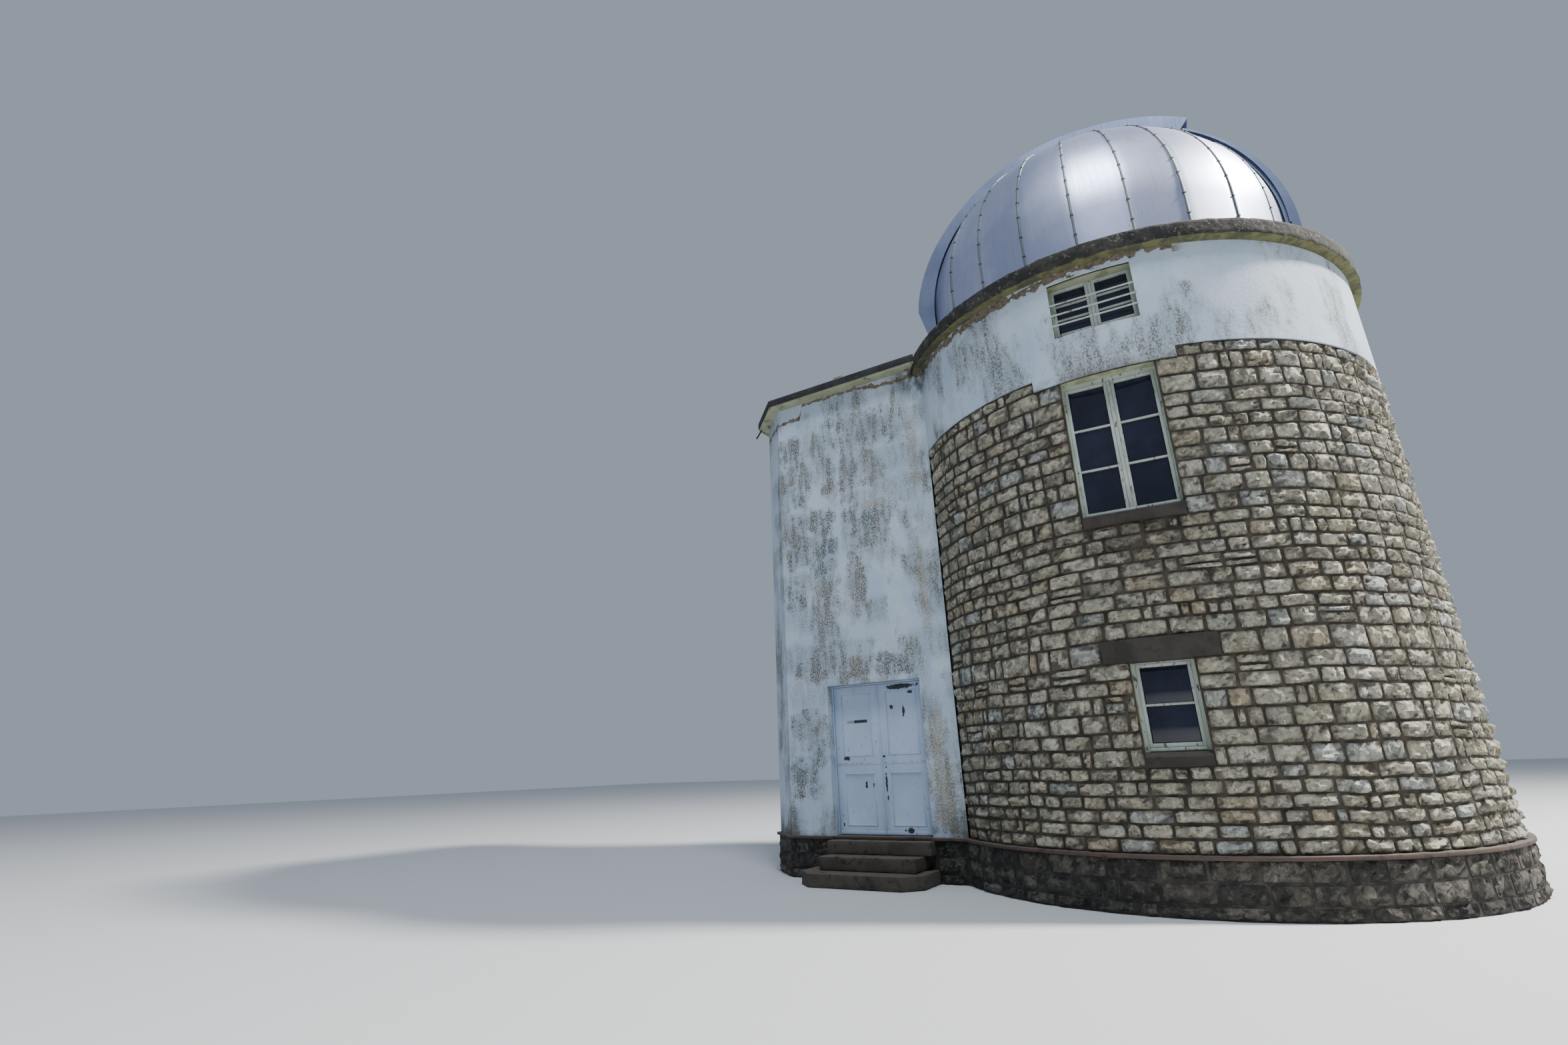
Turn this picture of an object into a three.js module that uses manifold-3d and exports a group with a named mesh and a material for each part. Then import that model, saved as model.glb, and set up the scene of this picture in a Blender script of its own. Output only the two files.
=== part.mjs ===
// Small domed observatory: a round stone tower, a rendered stair tower and a turning metal dome.
// Millimetres, +Z up. The origin is on the tower's vertical axis at ground level, and the entrance
// faces -Y. Azimuths are in degrees from +X towards +Y.
import * as THREE from 'three';
import * as BufferGeometryUtils from 'three/addons/utils/BufferGeometryUtils.js';
import Module from 'manifold-3d';

const wasm = await Module();
wasm.setup();

// Fits and facets
const JOINT = 0.3;
const FACET_DEG = 2.5;
const DOME_FACET_DEG = 5;

// Levels
const PLINTH_TOP = 540;
const GROUND_FLOOR = 580;
const FIRST_FLOOR = 3380;
const OBSERVING_FLOOR = 6410;
const FLOOR_SLAB = 170;
const RENDER_FOOT = 6280;
const RENDER_FOOT_AT_WINDOW = 6131;
const CORNICE_FOOT = 7704;
const CORNICE_TOP = 7952;

// Round tower
const WALL_R = 3272;
const ROOM_R = 2812;
const RENDER_COAT = 23;
const PLINTH_OUT = 23;
const CAP_OUT = 65;
const CORNICE_R = 3409;
const CORNICE_INNER_R = 2726;
const BAY_START = -102.5;
const BAY_END = -72.5;
const WALL_BREAKS = [-72.5, -22.5, 27.5, 77.5];
const REAR_BAY_END = 107.5;
const SHARED_WALL_START = 147.5;
const SHARED_WALL_END = 212.5;

// Windows, all on one vertical line, and the same on the rear side
const WINDOW_AZIMUTH = -86.8;
const WINDOW_FACE_R = 3059;
const FRAME_DEPTH = 58;
const GLASS = 6;
const SILL_OUT = 35;
const SILL_FALL = 57;
const LOWER_WINDOW = {
  width: 644, foot: 1431, head: 2548,
  sill: 103, side: 80, top: 52, board: 86, mullion: 0,
};
const MAIN_WINDOW = {
  width: 1107, foot: 4145, head: 6130,
  sill: 132, side: 66, top: 96, board: 46, mullion: 122,
};
const UPPER_WINDOW = {
  width: 1024, foot: 6762, head: 7574,
  sill: 0, side: 58, top: 39, board: 148, mullion: 124,
};
const LINTEL = { halfSpanDeg: 10.4, foot: 2548, head: 2802, innerR: 3036, out: 14 };

// Stair tower
const FRONT_Y = -1886;
const BACK_Y = 1886;
const CORNER_X = -5469;
const CHAMFER = 561;
const TOWER_WALL = 250;
const END_BAY_X = -5340;
const SOFFIT = 7806;
const ROOF_SLAB = 140;
const ROOF_OUT = 176;
const FLASHING = 16;
const FLASHING_FOOT = 7846;
const FLASHING_TOP = 7966;
const SPOUT = { radius: 15, length: 190, tail: 66, fallDeg: 50, y: -1420 };

// Entrance
const DOOR_LEFT = -4735;
const DOOR_RIGHT = -3181;
const DOOR_HEAD = 2763;
const DOOR_FRAME = 18;
const DOOR_FRAME_FRONT = -1736;
const LEAF_BACK = -1671;
const LEAF_THICK = 45;
const LEAF_GAP = 6;
const MEETING_GAP = 10;
const THRESHOLD_GAP = 8;
const PANELS = [[706, 1454], [1694, 2624]];
const PANEL_MARGIN = 118;
const PANEL_RECESS = 12;
const PIVOT = { radius: 8, height: 60, lap: 15 };
const STEP_RISE = 180;
const LANDING = { left: -4750, right: -3140, front: -2110 };
const MIDDLE_STEP = { left: -4715, right: -3245, front: -2430 };
const BOTTOM_STEP = { left: -4975, right: -3110, front: -2730, chamfer: 240 };

// Doorways between the stair tower and the round rooms
const INNER_DOOR = { y0: -450, y1: 450, height: 2000 };

// Dome, which turns about the tower's axis
const DOME_R = 2870;
const DOME_SHELL = 30;
const DOME_CENTRE_Z = 8834;
const DOME_FOOT = 7966;
const TRACK = { innerR: 2760, outerR: 2806, top: 7998 };
const BASE_RING = { innerR: 2565, outerR: 2839.4, foot: 7998.5, top: 8112 };

// Slit and shutter, drawn in the vertical plane that runs from front to rear through the dome
const SLIT_REAR_AZIMUTH = 5.4;
const SLIT_HALF = 1282;
const SLIT_FOOT = 8123;
const SLIT_REAR_DEG = 52;
const CURB_THICK = 46;
const CURB_R = 2645;
const CURB_REAR_R = 2726;
const CURB_INNER_R = 2415;
const CURB_FRONT_R = 2547;
const CURB_FRONT_DROP = 676;
const CURB_FOOT_DROP = 824;
const RAIL = { r0: 2601, r1: 2628 };
const SHUTTER_HALF = 1368;
const SKIRT_THICK = 25;
const SKIRT_INNER_R = 2548;
const SHUTTER_R = 2726;
const SHUTTER_SHEET = 15;
const HOOD_RISE = 69;
const HOOD_END_DEG = 80;
const FLARE_START_DEG = 133;
const FLARE_END_DEG = 172;
const FLARE_RISE = 103;
const NOSE_DEG = 177;
const NOSE_SLOPE = 0.27;
const SHUTTER_DROP = 698;
const COVER_SHEET = 15;
const COVER_LAP_DEG = 60;

// Cutting blocks run past what they cut: a little, through a wall, or out of the building
const PAST = 10;
const THROUGH_WALL = { innerR: 2300, outerR: 3700 };
const BEYOND = 9000;
const INSIDE_DRUM_X = -1500;

const radians = THREE.MathUtils.degToRad;

const materials = {
  stone: new THREE.MeshStandardMaterial({ color: 0xb9b3a2, roughness: 0.95 }),
  darkStone: new THREE.MeshStandardMaterial({ color: 0x4a4741, roughness: 0.95 }),
  capStone: new THREE.MeshStandardMaterial({ color: 0x8d6a60, roughness: 0.9 }),
  render: new THREE.MeshStandardMaterial({ color: 0xd5d9db, roughness: 0.9 }),
  concrete: new THREE.MeshStandardMaterial({ color: 0x77736b, roughness: 0.95 }),
  step: new THREE.MeshStandardMaterial({ color: 0x8a7c70, roughness: 0.9 }),
  bitumen: new THREE.MeshStandardMaterial({ color: 0x1c1c1d, roughness: 0.7 }),
  aluminium: new THREE.MeshStandardMaterial({ color: 0xb4b7c6, roughness: 0.35, metalness: 0.9 }),
  steel: new THREE.MeshStandardMaterial({ color: 0x6d6a66, roughness: 0.6, metalness: 0.7 }),
  paintedWood: new THREE.MeshStandardMaterial({ color: 0xc9cfc2, roughness: 0.75 }),
  door: new THREE.MeshStandardMaterial({ color: 0xa9bccb, roughness: 0.6 }),
  glass: new THREE.MeshStandardMaterial({ color: 0x26304a, roughness: 0.08 }),
};

const observatory = new THREE.Group();

// Turns a closed geometry into a solid that can be joined and cut.
function solid(geometry) {
  const plain = geometry.index ? geometry.toNonIndexed() : geometry.clone();
  plain.deleteAttribute('normal');
  plain.deleteAttribute('uv');
  const merged = BufferGeometryUtils.mergeVertices(plain, 1e-4);
  const corners = merged.index.array;
  const kept = [];
  for (let i = 0; i < corners.length; i += 3) {
    const [a, b, c] = [corners[i], corners[i + 1], corners[i + 2]];
    if (a !== b && b !== c && a !== c) {
      kept.push(a, b, c);
    }
  }
  const vertProperties = new Float32Array(merged.attributes.position.array);
  const triVerts = new Uint32Array(kept);
  return new wasm.Manifold(new wasm.Mesh({ numProp: 3, vertProperties, triVerts }));
}

// Adds a solid to the building as a named mesh.
function add(name, body, material) {
  const result = body.getMesh();
  const geometry = new THREE.BufferGeometry();
  geometry.setAttribute('position', new THREE.BufferAttribute(result.vertProperties, 3));
  geometry.setIndex(new THREE.BufferAttribute(result.triVerts, 1));
  geometry.computeVertexNormals();
  const mesh = new THREE.Mesh(geometry, material);
  mesh.name = name;
  observatory.add(mesh);
}

// An upright prism over an outline in plan.
function prism(outline, z0, z1, holes = []) {
  const shape = new THREE.Shape(outline.map(([x, y]) => new THREE.Vector2(x, y)));
  for (const hole of holes) {
    shape.holes.push(new THREE.Path(hole.map(([x, y]) => new THREE.Vector2(x, y))));
  }
  const geometry = new THREE.ExtrudeGeometry(shape, { depth: z1 - z0, bevelEnabled: false });
  geometry.translate(0, 0, z0);
  return solid(geometry);
}

function box(x0, x1, y0, y1, z0, z1) {
  const geometry = new THREE.BoxGeometry(x1 - x0, y1 - y0, z1 - z0);
  geometry.translate((x0 + x1) / 2, (y0 + y1) / 2, (z0 + z1) / 2);
  return solid(geometry);
}

// Points of an arc, with every facet corner on one shared angular grid.
function arcPoints(radius, start, end, step = FACET_DEG) {
  const angles = [start];
  for (let k = Math.floor(start / step) + 1; k * step < end - 1e-6; k += 1) {
    angles.push(k * step);
  }
  angles.push(end);
  return angles.map((a) => [radius * Math.cos(radians(a)), radius * Math.sin(radians(a))]);
}

function circle(radius, step = FACET_DEG) {
  return arcPoints(radius, 0, 360, step).slice(0, -1);
}

function disc(radius, z0, z1) {
  return prism(circle(radius), z0, z1);
}

function ring(innerR, outerR, z0, z1, step = FACET_DEG) {
  return prism(circle(outerR, step), z0, z1, [circle(innerR, step).reverse()]);
}

// A curved block between two radii. Its ends stand back by the given gap, in millimetres.
function sector(innerR, outerR, start, end, z0, z1, gap = 0) {
  const trim = THREE.MathUtils.radToDeg(gap / ((innerR + outerR) / 2));
  const outer = arcPoints(outerR, start + trim, end - trim);
  const inner = arcPoints(innerR, start + trim, end - trim).reverse();
  return prism([...outer, ...inner], z0, z1);
}

// Places a solid drawn in a window's own frame: X along the wall, Y up, Z out from the axis.
function atAzimuth(body, azimuth) {
  const a = radians(azimuth);
  const along = new THREE.Vector3(-Math.sin(a), Math.cos(a), 0);
  const up = new THREE.Vector3(0, 0, 1);
  const out = new THREE.Vector3(Math.cos(a), Math.sin(a), 0);
  return body.transform(new THREE.Matrix4().makeBasis(along, up, out).toArray());
}

// A block in a window's own frame.
function windowBlock(x0, x1, z0, z1, out0, out1, azimuth) {
  return atAzimuth(box(x0, x1, z0, z1, out0, out1), azimuth);
}

function windowOpening(window, azimuth) {
  const half = window.width / 2;
  const { innerR, outerR } = THROUGH_WALL;
  return windowBlock(-half, half, window.foot, window.head, innerR, outerR, azimuth);
}

// The frame's foot stands on the sill where there is one.
function frameFoot(window) {
  return window.sill > 0 ? window.foot + window.sill + SILL_FALL : window.foot;
}

function windowFrame(window, azimuth) {
  const half = window.width / 2 - JOINT;
  const foot = frameFoot(window) + JOINT;
  const head = window.head - JOINT;
  const paneFoot = foot + window.board;
  const paneHead = head - window.top;
  const inner = window.width / 2 - window.side;
  const back = WINDOW_FACE_R - FRAME_DEPTH;
  let frame = windowBlock(-half, half, foot, head, back, WINDOW_FACE_R, azimuth);
  const spans = window.mullion > 0
    ? [[-inner, -window.mullion / 2], [window.mullion / 2, inner]]
    : [[-inner, inner]];
  for (const [x0, x1] of spans) {
    const { innerR, outerR } = THROUGH_WALL;
    frame = frame.subtract(windowBlock(x0, x1, paneFoot, paneHead, innerR, outerR, azimuth));
  }
  return frame;
}

function windowGlass(window, azimuth) {
  const half = window.width / 2 - window.side / 2;
  const foot = frameFoot(window) + window.board / 2;
  const head = window.head - window.top / 2;
  const face = WINDOW_FACE_R - FRAME_DEPTH - JOINT;
  return windowBlock(-half, half, foot, head, face - GLASS, face, azimuth);
}

// A sill runs through the wall, falls towards its nose and follows the curve of the wall.
function windowSill(window, azimuth) {
  const half = window.width / 2 - JOINT;
  const low = window.foot + window.sill;
  const nose = WALL_R + SILL_OUT;
  const back = ROOM_R - 9 * PAST;
  const profile = [
    [back, window.foot + JOINT],
    [nose, window.foot + JOINT],
    [nose, low],
    [WINDOW_FACE_R, low + SILL_FALL],
    [back, low + SILL_FALL],
  ];
  const shape = new THREE.Shape(profile.map(([x, y]) => new THREE.Vector2(x, y)));
  const geometry = new THREE.ExtrudeGeometry(shape, { depth: 2 * half, bevelEnabled: false });
  geometry.translate(0, 0, -half);
  const a = radians(azimuth);
  const out = new THREE.Vector3(Math.cos(a), Math.sin(a), 0);
  const up = new THREE.Vector3(0, 0, 1);
  const across = new THREE.Vector3().crossVectors(out, up);
  const block = solid(geometry).transform(new THREE.Matrix4().makeBasis(out, up, across).toArray());
  return block.intersect(ring(ROOM_R, nose, 0, CORNICE_TOP));
}

// Outlines of the stair tower in plan, grown outwards by a distance.
function towerOutline(grow, rearX = INSIDE_DRUM_X) {
  const cut = grow * Math.tan(radians(22.5));
  return [
    [rearX, FRONT_Y - grow],
    [rearX, BACK_Y + grow],
    [CORNER_X - cut, BACK_Y + grow],
    [CORNER_X - CHAMFER - grow, BACK_Y - CHAMFER + cut],
    [CORNER_X - CHAMFER - grow, FRONT_Y + CHAMFER - cut],
    [CORNER_X - cut, FRONT_Y - grow],
  ];
}

function towerBlock(grow, z0, z1, rearX) {
  return prism(towerOutline(grow, rearX), z0, z1);
}

// The space inside the stair tower, up to the outside of the round wall.
function stairRoom(grow, z0, z1) {
  return towerBlock(-TOWER_WALL + grow, z0, z1).subtract(disc(WALL_R - grow, z0 - 1, z1 + 1));
}

// Ground works: one mass of masonry under all the walls, its cap course and the filled floors
const footprint = disc(WALL_R + PLINTH_OUT, 0, PLINTH_TOP).add(towerBlock(PLINTH_OUT, 0, PLINTH_TOP));
const plinth = footprint
  .subtract(disc(ROOM_R, -1, PLINTH_TOP + 1))
  .subtract(stairRoom(0, -1, PLINTH_TOP + 1));
add('plinth', plinth, materials.darkStone);

const capLip = box(DOOR_LEFT, DOOR_RIGHT, FRONT_Y - CAP_OUT - PAST, FRONT_Y, 0, GROUND_FLOOR + PAST);
const cap = disc(WALL_R + CAP_OUT, PLINTH_TOP, GROUND_FLOOR)
  .add(towerBlock(CAP_OUT, PLINTH_TOP, GROUND_FLOOR))
  .subtract(disc(ROOM_R, 0, GROUND_FLOOR + 1))
  .subtract(stairRoom(0, 0, GROUND_FLOOR + 1))
  .subtract(capLip);
add('plinth_cap', cap, materials.capStone);

add('ground_floor_round_room', disc(ROOM_R - JOINT, 0, GROUND_FLOOR), materials.concrete);
add('ground_floor_stair_tower', stairRoom(-JOINT, 0, GROUND_FLOOR), materials.concrete);

// Round wall, in upright bays
const windows = [
  [WINDOW_AZIMUTH, [LOWER_WINDOW, MAIN_WINDOW, UPPER_WINDOW]],
  [WINDOW_AZIMUTH + 180, [LOWER_WINDOW, MAIN_WINDOW, UPPER_WINDOW]],
];
const openings = windows.flatMap(([azimuth, list]) => list.map((w) => windowOpening(w, azimuth)));

function wallBay(start, end, renderFoot = RENDER_FOOT) {
  const stonePart = sector(ROOM_R, WALL_R, start, end, GROUND_FLOOR, renderFoot, JOINT / 2);
  const coatedR = WALL_R - RENDER_COAT - JOINT;
  const coatedPart = sector(ROOM_R, coatedR, start, end, renderFoot, CORNICE_FOOT, JOINT / 2);
  return stonePart.add(coatedPart);
}

function lintelBlock(azimuth, grow) {
  const { halfSpanDeg, foot, head, innerR, out } = LINTEL;
  const spare = THREE.MathUtils.radToDeg(grow / WALL_R);
  const start = azimuth - halfSpanDeg - spare;
  const end = azimuth + halfSpanDeg + spare;
  return sector(innerR - grow, WALL_R + out, start, end, foot, head + grow);
}

const frontBay = wallBay(BAY_START, BAY_END, RENDER_FOOT_AT_WINDOW)
  .subtract(openings[0])
  .subtract(openings[1])
  .subtract(openings[2])
  .subtract(lintelBlock(WINDOW_AZIMUTH, JOINT));
add('round_wall_front_bay', frontBay, materials.stone);

const rearBay = wallBay(WALL_BREAKS[3], REAR_BAY_END, RENDER_FOOT_AT_WINDOW)
  .subtract(openings[3])
  .subtract(openings[4])
  .subtract(openings[5])
  .subtract(lintelBlock(WINDOW_AZIMUTH + 180, JOINT));
add('round_wall_rear_bay', rearBay, materials.stone);

for (let i = 0; i < WALL_BREAKS.length - 1; i += 1) {
  add(`round_wall_right_${i + 1}`, wallBay(WALL_BREAKS[i], WALL_BREAKS[i + 1]), materials.stone);
}
add('round_wall_rear_left', wallBay(REAR_BAY_END, SHARED_WALL_START), materials.stone);
add('round_wall_front_left', wallBay(SHARED_WALL_END, 360 + BAY_START), materials.stone);

const innerDoors = [GROUND_FLOOR, FIRST_FLOOR].map((floor) =>
  box(
    -THROUGH_WALL.outerR, -THROUGH_WALL.innerR,
    INNER_DOOR.y0, INNER_DOOR.y1,
    floor, floor + INNER_DOOR.height));
const sharedWall = wallBay(SHARED_WALL_START, SHARED_WALL_END)
  .subtract(innerDoors[0])
  .subtract(innerDoors[1]);
add('round_wall_stair_side', sharedWall, materials.stone);

// Render coat, which drops one course over each main window
let coat = ring(WALL_R - RENDER_COAT, WALL_R, RENDER_FOOT + JOINT, CORNICE_FOOT - JOINT);
for (const start of [BAY_START, BAY_START + 180]) {
  const end = start + BAY_END - BAY_START;
  const foot = RENDER_FOOT_AT_WINDOW + JOINT;
  coat = coat.add(sector(WALL_R - RENDER_COAT, WALL_R, start, end, foot, RENDER_FOOT + PAST, JOINT));
}
coat = coat.subtract(openings[2]).subtract(openings[5]);
add('render_band', coat, materials.render);

// Floors and cornice
const slabs = [['first_floor_slab', FIRST_FLOOR], ['observing_floor_slab', OBSERVING_FLOOR]];
for (const [name, level] of slabs) {
  add(name, disc(ROOM_R - JOINT, level - FLOOR_SLAB, level), materials.concrete);
}
add('cornice', ring(CORNICE_INNER_R, CORNICE_R, CORNICE_FOOT, CORNICE_TOP), materials.concrete);

// Windows
const windowNames = ['lower', 'main', 'upper'];
for (const [side, [azimuth, list]] of [['front', windows[0]], ['rear', windows[1]]]) {
  list.forEach((window, i) => {
    add(`${side}_${windowNames[i]}_window_frame`, windowFrame(window, azimuth), materials.paintedWood);
    add(`${side}_${windowNames[i]}_window_glass`, windowGlass(window, azimuth), materials.glass);
    if (window.sill > 0) {
      add(`${side}_${windowNames[i]}_window_sill`, windowSill(window, azimuth), materials.darkStone);
    }
  });
  add(`${side}_lower_window_lintel`, lintelBlock(azimuth, 0), materials.darkStone);
}

// Stair tower walls
const roundFace = disc(WALL_R + JOINT, 0, SOFFIT + PAST)
  .add(disc(CORNICE_R + JOINT, CORNICE_FOOT - JOINT, SOFFIT + PAST));
const wallBack = FRONT_Y + TOWER_WALL;

const frontLeft = box(END_BAY_X + JOINT, DOOR_LEFT, FRONT_Y, wallBack, GROUND_FLOOR, SOFFIT);
add('stair_tower_wall_left_of_door', frontLeft, materials.render);

const overDoor = box(DOOR_LEFT + JOINT, DOOR_RIGHT - JOINT, FRONT_Y, wallBack, DOOR_HEAD, SOFFIT);
add('stair_tower_wall_over_door', overDoor, materials.render);

const frontRight = box(DOOR_RIGHT, INSIDE_DRUM_X, FRONT_Y, wallBack, GROUND_FLOOR, SOFFIT)
  .subtract(roundFace);
add('stair_tower_wall_right_of_door', frontRight, materials.render);

const endBay = towerBlock(0, GROUND_FLOOR, SOFFIT, END_BAY_X)
  .subtract(towerBlock(-TOWER_WALL, GROUND_FLOOR - PAST, SOFFIT + PAST, END_BAY_X + PAST));
add('stair_tower_end_wall', endBay, materials.render);

const backWall = box(
  END_BAY_X + JOINT, INSIDE_DRUM_X, BACK_Y - TOWER_WALL, BACK_Y, GROUND_FLOOR, SOFFIT)
  .subtract(roundFace);
add('stair_tower_back_wall', backWall, materials.render);

// Stair tower roof, level with the cornice and cut round along it
const besideCornice = disc(CORNICE_R + JOINT, SOFFIT - PAST, FLASHING_TOP + PAST);
const roofSlab = towerBlock(ROOF_OUT, SOFFIT, SOFFIT + ROOF_SLAB).subtract(besideCornice);
add('stair_tower_roof_slab', roofSlab, materials.concrete);

const spout = new THREE.CylinderGeometry(SPOUT.radius, SPOUT.radius, SPOUT.length, 12);
const spoutFall = radians(SPOUT.fallDeg);
const spoutRise = (SPOUT.length / 2) * Math.sin(spoutFall) + SPOUT.radius * Math.cos(spoutFall);
spout.rotateZ(Math.PI / 2);
spout.rotateY(-spoutFall);
const spoutX = CORNER_X - CHAMFER - ROOF_OUT + SPOUT.tail - (SPOUT.length / 2) * Math.cos(spoutFall);
spout.translate(spoutX, SPOUT.y, SOFFIT - JOINT - spoutRise);
add('roof_rain_spout', solid(spout), materials.bitumen);

const flashing = towerBlock(ROOF_OUT + FLASHING, FLASHING_FOOT, FLASHING_TOP)
  .subtract(towerBlock(ROOF_OUT + JOINT, FLASHING_FOOT - PAST, FLASHING_TOP + PAST, 0))
  .subtract(besideCornice);
add('roof_edge_flashing', flashing, materials.bitumen);

// Entrance
const frameOuter = box(
  DOOR_LEFT + JOINT, DOOR_RIGHT - JOINT, DOOR_FRAME_FRONT, LEAF_BACK, GROUND_FLOOR, DOOR_HEAD - JOINT);
const frameHole = box(
  DOOR_LEFT + DOOR_FRAME, DOOR_RIGHT - DOOR_FRAME, DOOR_FRAME_FRONT - PAST, LEAF_BACK + PAST,
  GROUND_FLOOR - PAST, DOOR_HEAD - DOOR_FRAME);
add('door_frame', frameOuter.subtract(frameHole), materials.door);

const doorMiddle = (DOOR_LEFT + DOOR_RIGHT) / 2;
const leafFoot = GROUND_FLOOR + THRESHOLD_GAP;
const leafHead = DOOR_HEAD - DOOR_FRAME - LEAF_GAP;

// A leaf turns on a pivot that stands behind its hinge edge, just off the threshold.
function doorLeaf(x0, x1, pivotX) {
  const face = LEAF_BACK - LEAF_THICK;
  let leaf = box(x0, x1, face, LEAF_BACK, leafFoot, leafHead);
  for (const [z0, z1] of PANELS) {
    leaf = leaf.subtract(box(
      x0 + PANEL_MARGIN, x1 - PANEL_MARGIN, face - PAST, face + PANEL_RECESS, z0, z1));
  }
  const { radius, height, lap } = PIVOT;
  const shoe = box(
    pivotX - radius, pivotX + radius, LEAF_BACK - lap, LEAF_BACK + radius,
    leafFoot, GROUND_FLOOR + height);
  const pin = new THREE.CylinderGeometry(radius, radius, height - JOINT, 16);
  pin.rotateX(Math.PI / 2);
  pin.translate(pivotX, LEAF_BACK + radius, GROUND_FLOOR + (height + JOINT) / 2);
  return leaf.add(shoe).add(solid(pin));
}

const leftEdge = DOOR_LEFT + DOOR_FRAME + LEAF_GAP;
const rightEdge = DOOR_RIGHT - DOOR_FRAME - LEAF_GAP;
const leafLeft = doorLeaf(leftEdge, doorMiddle - MEETING_GAP / 2, leftEdge + PIVOT.radius);
const leafRight = doorLeaf(doorMiddle + MEETING_GAP / 2, rightEdge, rightEdge - PIVOT.radius);
add('door_leaf_left', leafLeft, materials.door);
add('door_leaf_right', leafRight, materials.door);

const stepBack = FRONT_Y - PLINTH_OUT - JOINT;
const bottomOutline = [
  [BOTTOM_STEP.left, stepBack],
  [BOTTOM_STEP.left, BOTTOM_STEP.front + BOTTOM_STEP.chamfer],
  [BOTTOM_STEP.left + BOTTOM_STEP.chamfer, BOTTOM_STEP.front],
  [BOTTOM_STEP.right - BOTTOM_STEP.chamfer, BOTTOM_STEP.front],
  [BOTTOM_STEP.right, BOTTOM_STEP.front + BOTTOM_STEP.chamfer],
  [BOTTOM_STEP.right, stepBack],
].reverse();
add('entrance_step_bottom', prism(bottomOutline, 0, STEP_RISE), materials.step);
const middle = box(
  MIDDLE_STEP.left, MIDDLE_STEP.right, MIDDLE_STEP.front, stepBack, STEP_RISE, 2 * STEP_RISE);
add('entrance_step_middle', middle, materials.step);
const landing = box(LANDING.left, LANDING.right, LANDING.front, stepBack, 2 * STEP_RISE, 3 * STEP_RISE);
add('entrance_landing', landing, materials.step);

// Dome carriage
add('dome_track', ring(TRACK.innerR, TRACK.outerR, CORNICE_TOP, TRACK.top, DOME_FACET_DEG), materials.steel);
const baseRing = ring(BASE_RING.innerR, BASE_RING.outerR, BASE_RING.foot, BASE_RING.top, DOME_FACET_DEG);
add('dome_base_ring', baseRing, materials.steel);

// Places a solid drawn in the slit's plane: X to the rear, Y up from the dome's centre, Z to the near side.
const slitAngle = radians(SLIT_REAR_AZIMUTH);
const slitFrame = new THREE.Matrix4().makeBasis(
  new THREE.Vector3(Math.cos(slitAngle), Math.sin(slitAngle), 0),
  new THREE.Vector3(0, 0, 1),
  new THREE.Vector3(Math.sin(slitAngle), -Math.cos(slitAngle), 0),
).setPosition(0, 0, DOME_CENTRE_Z);

function slitPlate(outline, side0, side1) {
  const shape = new THREE.Shape(outline.map(([x, y]) => new THREE.Vector2(x, y)));
  const geometry = new THREE.ExtrudeGeometry(shape, { depth: side1 - side0, bevelEnabled: false });
  geometry.translate(0, 0, side0);
  return solid(geometry).transform(slitFrame.toArray());
}

function polar(radius, degrees) {
  return [radius * Math.cos(radians(degrees)), radius * Math.sin(radians(degrees))];
}

function span(start, end, step) {
  const count = Math.max(1, Math.round(Math.abs(end - start) / step));
  return Array.from({ length: count + 1 }, (_, i) => start + ((end - start) * i) / count);
}

// A dome surface of one radius: a half sphere on an upright skirt.
function domeBody(radius, foot, step) {
  const profile = span(90, 0, step).map((a) => {
    const [x, y] = polar(radius, a);
    return new THREE.Vector2(Math.max(x, 0), y + DOME_CENTRE_Z);
  });
  profile[0].x = 0;
  profile.push(new THREE.Vector2(radius, foot));
  profile.push(new THREE.Vector2(0, foot));
  const geometry = new THREE.LatheGeometry(profile.reverse(), 360 / step, Math.PI / 2);
  geometry.rotateX(Math.PI / 2);
  return solid(geometry);
}

const slitDrop = DOME_CENTRE_Z - SLIT_FOOT;
const slitCut = slitPlate(
  [[-BEYOND, -slitDrop], [BEYOND, -slitDrop], [BEYOND, BEYOND], [-BEYOND, BEYOND]],
  -SLIT_HALF, SLIT_HALF);
const shell = domeBody(DOME_R, DOME_FOOT, DOME_FACET_DEG)
  .subtract(domeBody(DOME_R - DOME_SHELL, DOME_FOOT - PAST, DOME_FACET_DEG))
  .subtract(slitCut);
add('dome_shell', shell, materials.aluminium);

// Curbs that stand up along both edges of the slit and carry the shutter's rails
function curbRadius(degrees) {
  const t = THREE.MathUtils.clamp(1 - degrees / (SLIT_REAR_DEG - 2), 0, 1);
  return CURB_R + (CURB_REAR_R - CURB_R) * t;
}

const curbOutline = [
  [CURB_REAR_R, -CURB_FOOT_DROP],
  ...span(0, 186, 4).map((a) => polar(curbRadius(a), a)),
  [-CURB_FRONT_R, -CURB_FRONT_DROP],
  [-CURB_INNER_R, -CURB_FRONT_DROP],
  ...span(180, 0, 6).map((a) => polar(CURB_INNER_R, a)),
  [CURB_INNER_R, -CURB_FOOT_DROP],
];
const railOutline = [
  ...span(-3, 188, 3).map((a) => polar(RAIL.r1, a)),
  ...span(188, -3, 3).map((a) => polar(RAIL.r0, a)),
];
const domeSkin = domeBody(DOME_R + JOINT, DOME_FOOT - 10 * PAST, FACET_DEG);
for (const [name, side] of [['near', 1], ['far', -1]]) {
  const inner = SLIT_HALF - CURB_THICK / 2;
  const outer = SLIT_HALF + CURB_THICK / 2;
  const sides = (a, b) => (side > 0 ? [a, b] : [-b, -a]);
  const curb = slitPlate(curbOutline, ...sides(inner, outer))
    .add(slitPlate(railOutline, ...sides(outer - PAST, SHUTTER_HALF - SKIRT_THICK - JOINT)))
    .subtract(domeSkin);
  add(`slit_curb_${name}`, curb, materials.aluminium);
}

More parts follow.
